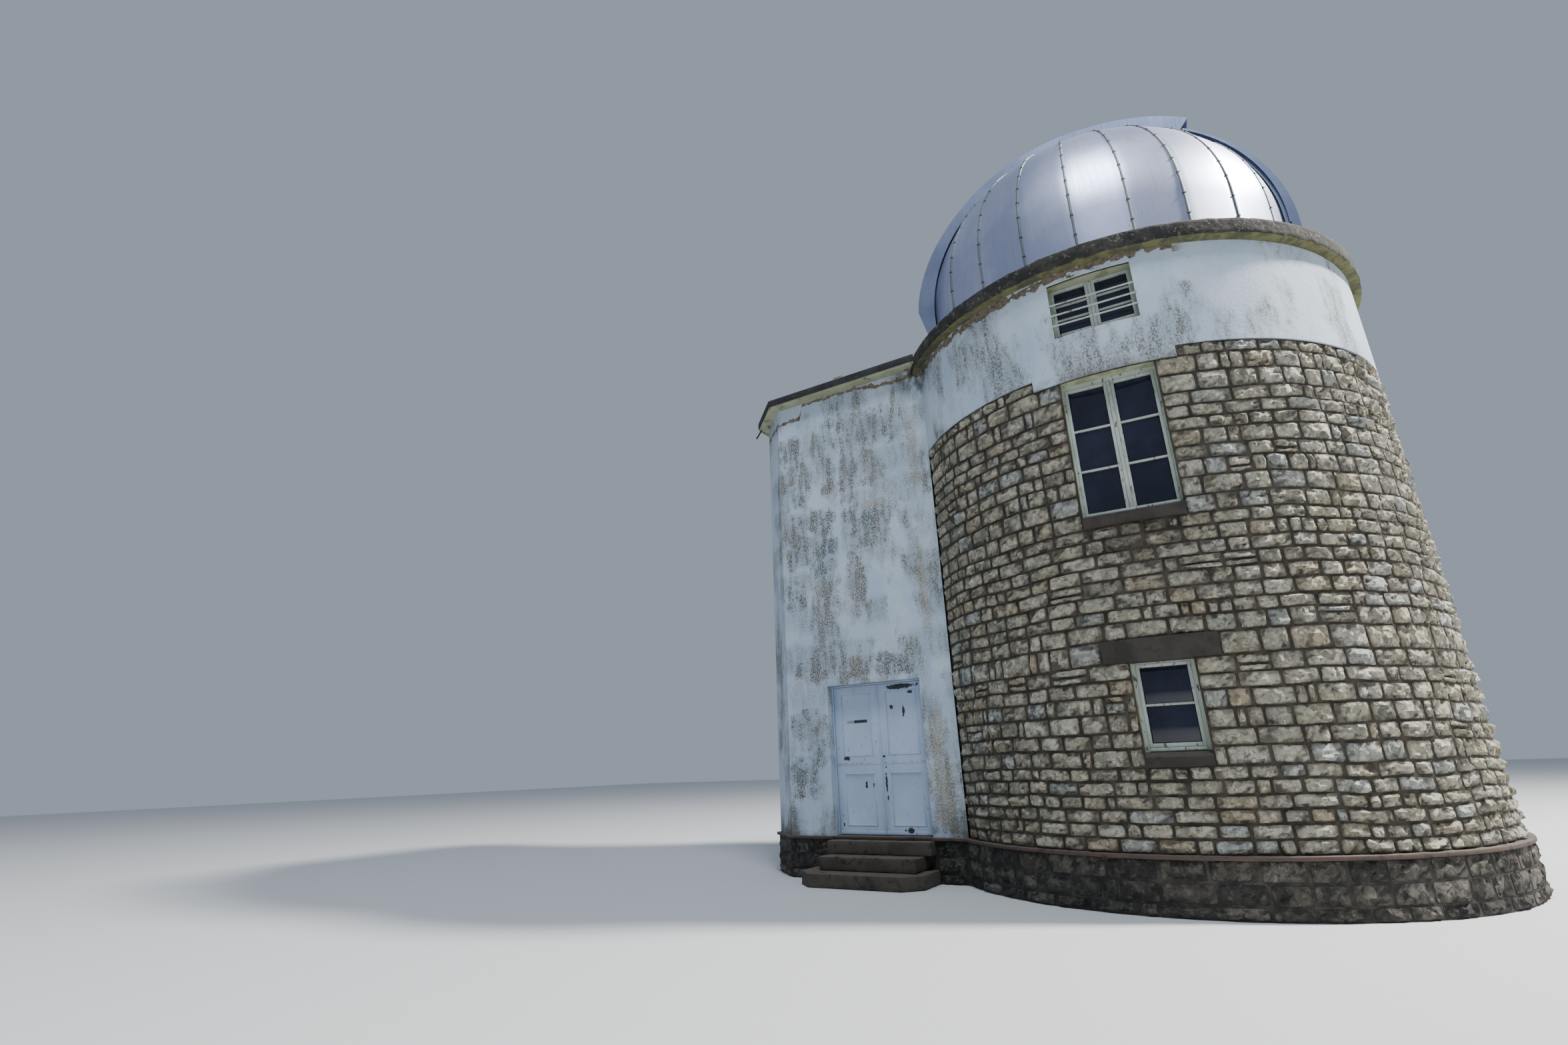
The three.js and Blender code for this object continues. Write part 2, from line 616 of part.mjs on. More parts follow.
// Fixed cover that closes the rear half of the slit between the curbs
const coverEdge = (inset) => [
  ...span(COVER_LAP_DEG, 0, 4).map((a) => polar(curbRadius(a) - inset, a)),
  [CURB_REAR_R - inset, JOINT - slitDrop],
];
const coverHalf = SLIT_HALF - CURB_THICK / 2 - JOINT;
const coverOutline = [...coverEdge(0), ...coverEdge(COVER_SHEET).reverse()].reverse();
const cover = slitPlate(coverOutline, -coverHalf, coverHalf);
add('slit_rear_cover', cover, materials.aluminium);

// Shutter: a curved sheet between two side skirts, which slides up and over on the rails
function shutterRadius(degrees) {
  if (degrees < HOOD_END_DEG) {
    return SHUTTER_R + (HOOD_RISE * (HOOD_END_DEG - degrees)) / (HOOD_END_DEG - SLIT_REAR_DEG);
  }
  const flare = THREE.MathUtils.clamp(
    (degrees - FLARE_START_DEG) / (FLARE_END_DEG - FLARE_START_DEG), 0, 1);
  return SHUTTER_R + FLARE_RISE * flare ** 1.2;
}

function shutterEdge(inset) {
  const points = span(SLIT_REAR_DEG, NOSE_DEG, 4).map((a) => polar(shutterRadius(a) - inset, a));
  const [noseX, noseY] = polar(shutterRadius(NOSE_DEG), NOSE_DEG);
  points.push([noseX + inset + (noseY + SHUTTER_DROP) * NOSE_SLOPE, -SHUTTER_DROP]);
  return points;
}

const sheet = slitPlate(
  [...shutterEdge(0), ...shutterEdge(SHUTTER_SHEET).reverse()], -SHUTTER_HALF, SHUTTER_HALF);
const skirtOutline = [
  ...shutterEdge(0),
  [-SKIRT_INNER_R, -SHUTTER_DROP],
  ...span(180, SLIT_REAR_DEG, 4).map((a) => polar(SKIRT_INNER_R, a)),
];
const shutter = sheet
  .add(slitPlate(skirtOutline, SHUTTER_HALF - SKIRT_THICK, SHUTTER_HALF))
  .add(slitPlate(skirtOutline, -SHUTTER_HALF, -SHUTTER_HALF + SKIRT_THICK));
add('shutter', shutter, materials.aluminium);

export default observatory;
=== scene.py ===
# Small domed observatory: the finish of every piece, and the pieces too fine for the solid model.
# Metres, +Z up, the round tower's axis at the origin, entrance towards -Y.
import math
import random

import bmesh
import bpy
from mathutils import Matrix, Vector, noise


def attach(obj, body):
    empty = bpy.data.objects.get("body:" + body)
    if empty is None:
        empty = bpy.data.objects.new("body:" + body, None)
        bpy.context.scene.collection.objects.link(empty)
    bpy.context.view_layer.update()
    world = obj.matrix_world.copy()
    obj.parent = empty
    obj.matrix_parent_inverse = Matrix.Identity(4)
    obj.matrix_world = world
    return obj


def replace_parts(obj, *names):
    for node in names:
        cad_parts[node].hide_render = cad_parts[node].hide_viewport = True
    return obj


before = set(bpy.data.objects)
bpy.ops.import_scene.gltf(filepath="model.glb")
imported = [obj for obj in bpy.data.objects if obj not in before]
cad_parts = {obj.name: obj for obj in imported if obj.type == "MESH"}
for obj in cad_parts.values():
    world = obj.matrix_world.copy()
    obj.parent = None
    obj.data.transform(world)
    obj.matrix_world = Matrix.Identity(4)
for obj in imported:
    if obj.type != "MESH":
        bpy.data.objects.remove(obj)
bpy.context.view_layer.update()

# Viewpoint: at eye height above the ground, right of the entrance, looking up at the dome through a
# wide lens.
VIEW_PLACE = Vector((0.997, -12.375, 1.553))
VIEW_YAW, VIEW_PITCH, VIEW_ROLL = (math.radians(a) for a in (121.459, 18.400, -2.054))
VIEW_LENS_MM = 16.995
ahead = Vector((
    math.cos(VIEW_YAW) * math.cos(VIEW_PITCH), math.sin(VIEW_YAW) * math.cos(VIEW_PITCH),
    math.sin(VIEW_PITCH)))
level_right = Vector((math.sin(VIEW_YAW), -math.cos(VIEW_YAW), 0))
level_up = level_right.cross(ahead)
view_right = level_right * math.cos(VIEW_ROLL) + level_up * math.sin(VIEW_ROLL)
view_up = level_up * math.cos(VIEW_ROLL) - level_right * math.sin(VIEW_ROLL)
view_data = bpy.data.cameras.new("viewpoint")
view_data.sensor_width = 36
view_data.lens = VIEW_LENS_MM
view_data.clip_end = 300
viewpoint = bpy.data.objects.new("viewpoint", view_data)
bpy.context.scene.collection.objects.link(viewpoint)
turn = Matrix((view_right, view_up, -ahead)).transposed().to_4x4()
viewpoint.matrix_world = Matrix.Translation(VIEW_PLACE) @ turn
bpy.context.scene.camera = viewpoint

# Studio: a plain pale floor just under the building, a pale surround, and two broad soft lamps, the
# stronger one high on the right.
FLOOR_HALF = 90
FLOOR_Z = -0.004
floor_shape = bmesh.new()
bmesh.ops.create_grid(floor_shape, x_segments=1, y_segments=1, size=FLOOR_HALF)
bmesh.ops.translate(floor_shape, verts=floor_shape.verts, vec=(0, 0, FLOOR_Z))
floor_mesh = bpy.data.meshes.new("studio_floor")
floor_shape.to_mesh(floor_mesh)
floor_shape.free()
studio_floor = bpy.data.objects.new("studio_floor", floor_mesh)
bpy.context.scene.collection.objects.link(studio_floor)
floor_paint = bpy.data.materials.new("studio_floor_paint")
floor_paint.use_nodes = True
floor_sockets = floor_paint.node_tree.nodes["Principled BSDF"].inputs
floor_sockets["Base Color"].default_value = (0.62, 0.63, 0.64, 1)
floor_sockets["Roughness"].default_value = 0.9
floor_mesh.materials.append(floor_paint)

surround = bpy.data.worlds.new("studio_surround")
surround.use_nodes = True
surround_sockets = surround.node_tree.nodes["Background"].inputs
surround_sockets["Color"].default_value = (0.66, 0.76, 0.92, 1)
surround_sockets["Strength"].default_value = 0.46
bpy.context.scene.world = surround


def soft_lamp(name, place, aim, size, power, tint):
    """A broad round lamp that shines at a point."""
    data = bpy.data.lights.new(name, "AREA")
    data.shape = "DISK"
    data.size = size
    data.energy = power
    data.color = tint
    lamp = bpy.data.objects.new(name, data)
    bpy.context.scene.collection.objects.link(lamp)
    lamp.location = place
    lamp.rotation_euler = (Vector(aim) - Vector(place)).to_track_quat("-Z", "Y").to_euler()


soft_lamp("key_lamp", (18.5, 4.5, 26), (0, 0, 6), 3.0, 26000, (1.0, 0.96, 0.90))
soft_lamp("fill_lamp", (5, -13.5, 32), (-1, 0, 5), 8, 5600, (0.90, 0.95, 1.0))

# Round wall: rock-faced limestone blocks in slightly wavy courses, bedded in dark recessed mortar.
# Each block is a worked grid with broken facets, rooted 40 mm behind the face of the mortar, and it
# stands proud of it by about its relief.
WALL_R = 3.272
MORTAR_R = 3.243
COURSES = [
    0.580, 0.728, 0.870, 1.008, 1.145, 1.294, 1.431, 1.626, 1.799, 2.004, 2.198, 2.363, 2.548,
    2.802, 2.998, 3.149, 3.325, 3.500, 3.664, 3.823, 3.996, 4.145, 4.351, 4.580, 4.788, 4.960,
    5.165, 5.320, 5.483, 5.655, 5.897, 6.130, 6.280]
WALL_REACH = 144.6
WALL_JOINT = 0.0095
WALL_RELIEF = (0.032, 0.056)
WALL_ROOT = 0.04
WALL_BLOCK_WIDTHS = (0.22, 0.46)
WALL_SMALL_SHARE = 0.13
WINDOW_AZIMUTH = -86.8
BAYS = {
    "round_wall_front_left": (-147.5, -102.5), "round_wall_front_bay": (-102.5, -72.5),
    "round_wall_right_1": (-72.5, -22.5), "round_wall_right_2": (-22.5, 27.5),
    "round_wall_right_3": (27.5, 77.5), "round_wall_rear_bay": (77.5, 107.5),
    "round_wall_rear_left": (107.5, 147.5)}
SOOT_PLACE = (0.22, -3.28, 4.00)


def put(tree, kind, sockets=None, **settings):
    """Lays one shader node and sets or links its sockets."""
    node = tree.nodes.new(kind)
    for key, value in settings.items():
        setattr(node, key, value)
    for socket, value in (sockets or {}).items():
        if isinstance(value, bpy.types.NodeSocket):
            tree.links.new(value, node.inputs[socket])
        else:
            node.inputs[socket].default_value = value
    return node


def blend(tree, factor, first, second):
    """Mixes two colours by a mask."""
    return put(tree, "ShaderNodeMix", {0: factor, 6: first, 7: second}, data_type="RGBA").outputs[2]


def arith(tree, operation, first, second=0.0):
    """One step of arithmetic on numbers or masks."""
    return put(tree, "ShaderNodeMath", {0: first, 1: second}, operation=operation).outputs[0]


def plus(tree, first, second):
    return arith(tree, "ADD", first, second)


def minus(tree, first, second):
    return arith(tree, "SUBTRACT", first, second)


def times(tree, first, second):
    return arith(tree, "MULTIPLY", first, second)


def fade(tree, value, low, high):
    """A mask that rises from 0 at low to 1 at high."""
    sockets = {"Value": value, "From Min": low, "From Max": high}
    return put(tree, "ShaderNodeMapRange", sockets, interpolation_type="SMOOTHSTEP").outputs[0]


def wane(tree, value, low, high):
    """A mask that falls from 1 at low to 0 at high."""
    return minus(tree, 1.0, fade(tree, value, low, high))


def coat(tree, colour, mask, strength, over):
    """Lays another colour over a colour where a mask is, at a given strength."""
    return blend(tree, times(tree, mask, strength), colour, over)


def shaded(colour, factor):
    """The same colour, darker or lighter."""
    return tuple(min(1, c * factor) for c in colour[:3]) + (1,)


def here_on(tree):
    """Where a point of the surface lies, in Object coordinates."""
    return put(tree, "ShaderNodeTexCoord").outputs["Object"]


def join_xyz(tree, x, y, z):
    return put(tree, "ShaderNodeCombineXYZ", {0: x, 1: y, 2: z}).outputs[0]


def vector_step(tree, operation, *vectors):
    """One step of arithmetic on vectors, which gives a vector, or a number for a measure."""
    node = put(tree, "ShaderNodeVectorMath", dict(enumerate(vectors)), operation=operation)
    measure = operation in ("DISTANCE", "LENGTH", "DOT_PRODUCT")
    return node.outputs["Value" if measure else "Vector"]


def cloud(tree, place, scale, detail, roughness=0.5, output="Fac"):
    """Soft noise at a place."""
    sockets = {"Vector": place, "Scale": scale, "Detail": detail, "Roughness": roughness}
    return put(tree, "ShaderNodeTexNoise", sockets).outputs[output]


def effect(name, inputs, outputs):
    """Starts a shared effect with named float inputs and outputs."""
    tree = bpy.data.node_groups.new(name, "ShaderNodeTree")
    for label, value in inputs.items():
        socket = tree.interface.new_socket(label, in_out="INPUT", socket_type="NodeSocketFloat")
        socket.default_value = value
    for label in outputs:
        tree.interface.new_socket(label, in_out="OUTPUT", socket_type="NodeSocketFloat")
    return tree, tree.nodes.new("NodeGroupInput").outputs, tree.nodes.new("NodeGroupOutput").inputs


def use(tree, effect_tree, **values):
    """Places a shared effect in a material with its own values and gives its first output."""
    node = tree.nodes.new("ShaderNodeGroup")
    node.node_tree = effect_tree
    for label, value in values.items():
        node.inputs[label].default_value = value
    return node.outputs[0]


# Patches: cloudy areas of dirt or growth, drawn out along the height by Stretch below 1.
patch_tree, patch_in, patch_out = effect(
    "patches", {"Scale": 2.0, "Stretch": 1.0, "Low": 0.5, "High": 0.6, "Shift": 0.0}, ["Mask"])
patch_scale = join_xyz(patch_tree, 1.0, 1.0, patch_in["Stretch"])
patch_place = vector_step(patch_tree, "MULTIPLY", here_on(patch_tree), patch_scale)
patch_shift = join_xyz(patch_tree, patch_in["Shift"], patch_in["Shift"], 0.0)
patch_place = vector_step(patch_tree, "ADD", patch_place, patch_shift)
patch_cloud = cloud(patch_tree, patch_place, patch_in["Scale"], 7.0, 0.62)
patch_tree.links.new(fade(patch_tree, patch_cloud, patch_in["Low"], patch_in["High"]), patch_out["Mask"])

# Grain: the fine and coarse texture of a mineral surface, for its bump.
LUMPS_TO_GRAIN = 0.45
grain_tree, grain_in, grain_out = effect("grain", {"Scale": 40.0, "Coarse": 0.5}, ["Height"])
grain_place = here_on(grain_tree)
grain_fine = cloud(grain_tree, grain_place, grain_in["Scale"], 8.0, 0.6)
grain_lumps = put(
    grain_tree, "ShaderNodeTexVoronoi",
    {"Vector": grain_place, "Scale": times(grain_tree, grain_in["Scale"], LUMPS_TO_GRAIN)},
    feature="SMOOTH_F1").outputs["Distance"]
grain_lumps = times(grain_tree, grain_lumps, grain_in["Coarse"])
grain_tree.links.new(plus(grain_tree, grain_fine, grain_lumps), grain_out["Height"])

# Chisel: flat facets, each broken off at its own slant, for the bump of rock-faced stone.
CHISEL_WARP = (0.030, 0.030, 0.030)
CHISEL_PER_METRE = 33.0
chisel_tree, chisel_in, chisel_out = effect("chisel", {"Scale": 15.0, "Slope": 1.0}, ["Height"])
chisel_place = here_on(chisel_tree)
chisel_warp = cloud(chisel_tree, chisel_place, 12.0, 1.0, output="Color")
chisel_warp = vector_step(chisel_tree, "MULTIPLY", chisel_warp, CHISEL_WARP)
chisel_place = vector_step(chisel_tree, "ADD", chisel_place, chisel_warp)
chisel_cell = put(
    chisel_tree, "ShaderNodeTexVoronoi", {"Vector": chisel_place, "Scale": chisel_in["Scale"]}).outputs
chisel_off = vector_step(chisel_tree, "SUBTRACT", chisel_place, chisel_cell["Position"])
chisel_slant = vector_step(chisel_tree, "SUBTRACT", chisel_cell["Color"], (0.5, 0.5, 0.5))
chisel_height = vector_step(chisel_tree, "DOT_PRODUCT", chisel_off, chisel_slant)
chisel_height = times(chisel_tree, chisel_height, CHISEL_PER_METRE)
chisel_tree.links.new(times(chisel_tree, chisel_height, chisel_in["Slope"]), chisel_out["Height"])


def patches(tree, scale, low, high, stretch=1.0, shift=0.0):
    return use(tree, patch_tree, Scale=scale, Low=low, High=high, Stretch=stretch, Shift=shift)


def grain(tree, scale, coarse):
    return use(tree, grain_tree, Scale=scale, Coarse=coarse)


def chisel(tree, scale, slope):
    return use(tree, chisel_tree, Scale=scale, Slope=slope)


def new_finish(name, roughness, metallic=0.0):
    """A material, its node tree, and its shader's sockets."""
    finish = bpy.data.materials.new(name)
    finish.use_nodes = True
    shader = finish.node_tree.nodes["Principled BSDF"]
    shader.inputs["Roughness"].default_value = roughness
    shader.inputs["Metallic"].default_value = metallic
    return finish, finish.node_tree, shader.inputs


def emboss(tree, sockets, height, distance, strength=0.7):
    """Turns a height into the bump of a finish."""
    bump = put(tree, "ShaderNodeBump", {"Height": height, "Distance": distance, "Strength": strength})
    tree.links.new(bump.outputs[0], sockets["Normal"])


def stone_finish(name, shades, dirt, coverage, soot_at=None):
    """Rock-faced stone: each block has its own tone, painted shade darkens the low parts of its face, and
    dirt lies in patches and in its pits.
    """
    finish, tree, sockets = new_finish(name, 0.93)
    tone = put(tree, "ShaderNodeAttribute", attribute_name="tone").outputs["Fac"]
    proud = put(tree, "ShaderNodeAttribute", attribute_name="proud").outputs["Fac"]
    colour = shades[0]
    for i, shade in enumerate(shades[1:], 1):
        edge = i / len(shades)
        colour = blend(tree, fade(tree, tone, edge - 0.02, edge + 0.02), colour, shade)
    weathered, fresh = shaded(shades[0], 0.55), shaded(shades[-1], 1.3)
    colour = coat(tree, colour, patches(tree, 6.0, 0.50, 0.66), 0.5, weathered)
    colour = coat(tree, colour, patches(tree, 14.0, 0.54, 0.62, shift=3.0), 0.55, fresh)
    # Painted shade: the dirt colour also darkens each block where its face lies low, towards its edges and
    # in its dips.
    colour = coat(tree, colour, wane(tree, proud, 0.02, 0.30), 0.80, dirt)
    black = patches(tree, 8.0, coverage, coverage + 0.07, shift=9.0)
    colour = coat(tree, colour, black, 0.55, dirt)
    if soot_at:
        aside = vector_step(tree, "DISTANCE", here_on(tree), soot_at)
        soot = times(tree, wane(tree, aside, 0.15, 0.80), patches(tree, 3.0, 0.34, 0.56, shift=6.0))
        colour = coat(tree, colour, soot, 0.62, dirt)
    colour = coat(tree, colour, patches(tree, 26.0, 0.60, 0.64, shift=5.0), 0.65, dirt)
    tree.links.new(colour, sockets["Base Color"])
    rough = times(tree, grain(tree, 17.0, 0.8), 0.4)
    rough = plus(tree, rough, chisel(tree, 8.0, 2.6))
    rough = plus(tree, rough, chisel(tree, 21.0, 1.7))
    emboss(tree, sockets, rough, 0.030, 1.0)
    return finish


wall_stone = stone_finish(
    "wall_limestone", [
        (0.330, 0.310, 0.232, 1), (0.380, 0.360, 0.275, 1), (0.262, 0.250, 0.196, 1),
        (0.400, 0.382, 0.300, 1), (0.345, 0.300, 0.212, 1), (0.350, 0.338, 0.262, 1),
        (0.335, 0.350, 0.325, 1), (0.430, 0.412, 0.332, 1)],
    (0.046, 0.038, 0.027, 1), 0.625, SOOT_PLACE)


def drum_place(radius):
    """Puts a point of the unrolled wall on its curve: along the wall, up, and out from the radius."""
    def place(s, z, out):
        angle = s / WALL_R
        return Vector(((radius + out) * math.cos(angle), (radius + out) * math.sin(angle), z))
    return place


def along(azimuth):
    """How far along the unrolled wall an azimuth in degrees lies."""
    return math.radians(azimuth) * WALL_R


SMALL_BLOCK_WIDTHS = (0.09, 0.17)
LEAST_SPAN = 0.05
SPLIT_HEIGHT = 0.16


def clear_spans(reach, holes, low, high):
    """The stretches of one course between the openings that it meets."""
    spans = [reach]
    for h0, h1, z0, z1 in holes:
        if z0 < high - 0.01 and z1 > low + 0.01:
            cut = []
            for a, b in spans:
                if h0 > a:
                    cut.append((a, min(b, h0)))
                if h1 < b:
                    cut.append((max(a, h1), b))
            spans = [(a, b) for a, b in cut if b - a > LEAST_SPAN]
    return spans


def lay_courses(levels, reach, holes, dice, widths, small_share, split_share=0.03):
    """Splits each course into blocks between the openings, and some blocks into two thin ones."""
    blocks = []
    for low, high in zip(levels, levels[1:]):
        for a, b in clear_spans(reach, holes, low, high):
            sizes = []
            while sum(sizes) < (b - a):
                small = dice.random() < small_share
                sizes.append(dice.uniform(*(SMALL_BLOCK_WIDTHS if small else widths)))
            if len(sizes) > 1 and sum(sizes) - (b - a) > sizes[-1] / 2:
                sizes.pop()
            stretch = (b - a) / sum(sizes)
            left = a
            for size in sizes:
                right = left + size * stretch
                if high - low > SPLIT_HEIGHT and dice.random() < split_share:
                    middle = low + (high - low) * dice.uniform(0.35, 0.65)
                    blocks.append((left, right, low, middle))
                    blocks.append((left, right, middle, high))
                else:
                    blocks.append((left, right, low, high))
                left = right
    return blocks


BLOCK_GRID = (8, 5)
BLOCK_FACETS = 5
CORNER_ROUNDING = 0.006
RAGGED_EDGE = 0.007
BROKEN_DEPTH, FINE_DEPTH = 0.024, 0.012


def blank_blocks(count):
    """Copies of one closed flat block, whose grid places and back are kept as values."""
    shape = bmesh.new()
    for name in ("tone", "proud", "across", "upward", "buried"):
        shape.verts.layers.float.new(name)
    across, upward, buried = (shape.verts.layers.float[name] for name in ("across", "upward", "buried"))
    bmesh.ops.create_grid(shape, x_segments=BLOCK_GRID[0], y_segments=BLOCK_GRID[1], size=1)
    for v in shape.verts:
        v[across], v[upward] = v.co.x, v.co.y
    rim = [e for e in shape.edges if e.is_boundary]
    skirt = bmesh.ops.extrude_edge_only(shape, edges=rim)["geom"]
    for v in (g for g in skirt if isinstance(g, bmesh.types.BMVert)):
        v[buried] = 1
        v.co.z -= 1
    bmesh.ops.holes_fill(shape, edges=[e for e in shape.edges if e.is_boundary], sides=0)
    each = len(shape.verts)
    if count > 1:
        bmesh.ops.spin(
            shape, geom=shape.verts[:] + shape.edges[:] + shape.faces[:], cent=(0, 0, 50), axis=(1, 0, 0),
            dvec=(0, 0, 0), angle=math.radians(300), steps=count - 1, use_duplicate=True)
    shape.verts.ensure_lookup_table()
    return shape, each


def carve_blocks(blocks, place, dice, joint, relief, root, bend=None):
    """One closed worked block for each place in the courses, all in one mesh."""
    shape, each = blank_blocks(len(blocks))
    tone, proud, across, upward, buried = (
        shape.verts.layers.float[name] for name in ("tone", "proud", "across", "upward", "buried"))
    for i, (left, right, low, high) in enumerate(blocks):
        shade = dice.random()
        gap = joint * dice.uniform(0.7, 1.3)
        slack = min(0.014, 0.06 * (right - left))
        pull = [[(dice.uniform(0, slack), dice.uniform(0, 0.009)) for _ in range(2)] for _ in range(2)]
        facets = [
            (dice.uniform(-1.1, 1.1), dice.uniform(-1.2, 1.2), dice.uniform(0.6, 1.3))
            for _ in range(BLOCK_FACETS)]
        swell = dice.uniform(*relief)
        seed = Vector((dice.uniform(0, 90), dice.uniform(0, 90), dice.uniform(0, 90)))
        for v in shape.verts[i * each:(i + 1) * each]:
            u, w = v[across], v[upward]
            a, b = (u + 1) / 2, (w + 1) / 2
            s0 = left + gap + pull[0][0][0] * (1 - b) + pull[0][1][0] * b
            s1 = right - gap - pull[1][0][0] * (1 - b) - pull[1][1][0] * b
            z0 = low + gap * 0.85 + pull[0][0][1] * (1 - a) + pull[1][0][1] * a
            z1 = high - gap * 0.85 - pull[0][1][1] * (1 - a) - pull[1][1][1] * a
            s = s0 + (s1 - s0) * a
            z = z0 + (z1 - z0) * b
            if abs(u) > 0.99 or abs(w) > 0.99:
                corner = CORNER_ROUNDING if abs(u) > 0.99 and abs(w) > 0.99 else 0.0
                ragged = noise.noise(Vector((s * 19, z * 19, seed.x))) * RAGGED_EDGE
                s -= (ragged + corner) * u
                z -= (ragged + corner * 0.7) * w
            edge = 1 - max(abs(u), abs(w)) ** 8
            height = max(0.12, min(c + p * u + q * w for p, q, c in facets))
            broken = noise.noise(Vector((s * 15, z * 21, 0)) + seed) * BROKEN_DEPTH
            fine = noise.noise(Vector((s * 41, z * 47, 0)) + seed) * FINE_DEPTH
            out = 0.005 + height * edge * swell + (broken + fine) * (0.15 + edge)
            v[tone] = shade
            v[proud] = 0.0 if v[buried] else max(0.0, min(1.0, out / relief[1]))
            if bend:
                z += bend(s, z)
            v.co = place(s, z, -root if v[buried] else max(0.001, out))
    bmesh.ops.recalc_face_normals(shape, faces=shape.faces)
    for name in ("across", "upward", "buried"):
        shape.verts.layers.float.remove(shape.verts.layers.float[name])
    return shape


def make_piece(shape, name, finish, body, smooth=30):
    """Turns a finished bmesh into a piece with soft shading up to an angle, riding on a body."""
    shape.normal_update()
    for face in shape.faces:
        face.smooth = True
    for e in shape.edges:
        e.smooth = len(e.link_faces) == 2 and e.calc_face_angle(0) < math.radians(smooth)
    mesh = bpy.data.meshes.new(name)
    shape.to_mesh(mesh)
    shape.free()
    mesh.materials.append(finish)
    piece = bpy.data.objects.new(name, mesh)
    bpy.context.scene.collection.objects.link(piece)
    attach(piece, body)
    return piece


# Bedding of the wall: dark weathered mortar outside, painted window reveals, and plaster inside. It
# is the solid wall, let back behind the stones. The part beside the stair tower has no stones.
STONE_SKIN_R = 3.262
REVEAL_R, OUTSIDE_R = 3.214, 3.220
MAIN_HOLE_HALF, MAIN_HOLE_LOW, MAIN_HOLE_HIGH = 0.558, 4.145, 6.130
LOWER_HOLE_HALF, LOWER_HOLE_LOW, LOWER_HOLE_HIGH = 0.326, 1.431, 2.548
LINTEL_HALF_ANGLE, LINTEL_TOP = 10.5, 2.802
RENDERED_HEAD = (6.131, 6.4)
CALM_BESIDE, CALM_TO_WAVY = 0.8, 0.7
CALM_AT_ENDS = 0.3


def copy_solid(node):
    """The solid's own shape as one joined mesh, to be worked further."""
    shape = bmesh.new()
    shape.from_mesh(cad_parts[node].data)
    bmesh.ops.remove_doubles(shape, verts=shape.verts, dist=2e-5)
    for layer in list(shape.loops.layers.uv):
        shape.loops.layers.uv.remove(layer)
    return shape


def finish_solids(finish, *nodes):
    """Gives solids that keep their own shape their finish."""
    for node in nodes:
        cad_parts[node].material_slots[0].material = finish


mortar, mortar_tree, mortar_sockets = new_finish("wall_mortar_and_plaster", 0.95)
mortar_flat = vector_step(mortar_tree, "MULTIPLY", here_on(mortar_tree), (1, 1, 0))
mortar_radius = vector_step(mortar_tree, "LENGTH", mortar_flat)
mortar_colour = blend(
    mortar_tree, patches(mortar_tree, 7.0, 0.40, 0.62), (0.026, 0.021, 0.015, 1), (0.060, 0.050, 0.036, 1))
reveal_colour = blend(
    mortar_tree, patches(mortar_tree, 6.0, 0.45, 0.6), (0.36, 0.39, 0.27, 1), (0.24, 0.26, 0.15, 1))
mortar_colour = blend(
    mortar_tree, fade(mortar_tree, mortar_radius, REVEAL_R, OUTSIDE_R), reveal_colour, mortar_colour)
mortar_tree.links.new(mortar_colour, mortar_sockets["Base Color"])
emboss(mortar_tree, mortar_sockets, grain(mortar_tree, 70.0, 0.6), 0.006)

window_holes = []
for middle in (along(WINDOW_AZIMUTH), along(WINDOW_AZIMUTH + 180)):
    for half, low, high in (
            (MAIN_HOLE_HALF, MAIN_HOLE_LOW, MAIN_HOLE_HIGH),
            (LOWER_HOLE_HALF, LOWER_HOLE_LOW, LOWER_HOLE_HIGH),
            (along(LINTEL_HALF_ANGLE), LOWER_HOLE_HIGH, LINTEL_TOP)):
        window_holes.append((middle - half, middle + half, low, high))
for bay in ("round_wall_front_bay", "round_wall_rear_bay"):
    bay_start, bay_end = BAYS[bay]
    window_holes.append((along(bay_start), along(bay_end), *RENDERED_HEAD))


def course_wave(s, z):
    """The courses rise and fall a little, except beside the windows and at the wall's foot and head."""
    near = min(abs(s - along(WINDOW_AZIMUTH)), abs(s - along(WINDOW_AZIMUTH + 180)))
    calm = max(0.0, min(1.0, (near - CALM_BESIDE) / CALM_TO_WAVY))
    calm *= max(0.0, min(1.0, (z - COURSES[0]) / CALM_AT_ENDS))
    calm *= max(0.0, min(1.0, (COURSES[-1] - z) / CALM_AT_ENDS))
    long_wave = noise.noise(Vector((s * 0.8, z * 0.9, 3.3)))
    short_wave = noise.noise(Vector((s * 2.6, z * 2.0, 8.1)))
    return calm * (0.040 * long_wave + 0.016 * short_wave)


wall_dice = random.Random(411)
wall_blocks = lay_courses(
    COURSES, (along(-WALL_REACH), along(WALL_REACH)), window_holes, wall_dice, WALL_BLOCK_WIDTHS,
    WALL_SMALL_SHARE)
for bay, (bay_start, bay_end) in BAYS.items():
    first = -180 if bay == "round_wall_front_left" else bay_start
    last = 180 if bay == "round_wall_rear_left" else bay_end
    inside = [b for b in wall_blocks if first <= math.degrees((b[0] + b[1]) / 2 / WALL_R) < last]
    stones = carve_blocks(
        inside, drum_place(MORTAR_R), wall_dice, WALL_JOINT, WALL_RELIEF, WALL_ROOT, course_wave)
    make_piece(stones, bay + "_stones", wall_stone, "building", 14)
    bed = copy_solid(bay)
    for v in bed.verts:
        radius = math.hypot(v.co.x, v.co.y)
        if radius > STONE_SKIN_R:
            v.co.x *= MORTAR_R / radius
            v.co.y *= MORTAR_R / radius
    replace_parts(make_piece(bed, bay + "_bed", mortar, "building"), bay)
finish_solids(mortar, "round_wall_stair_side")

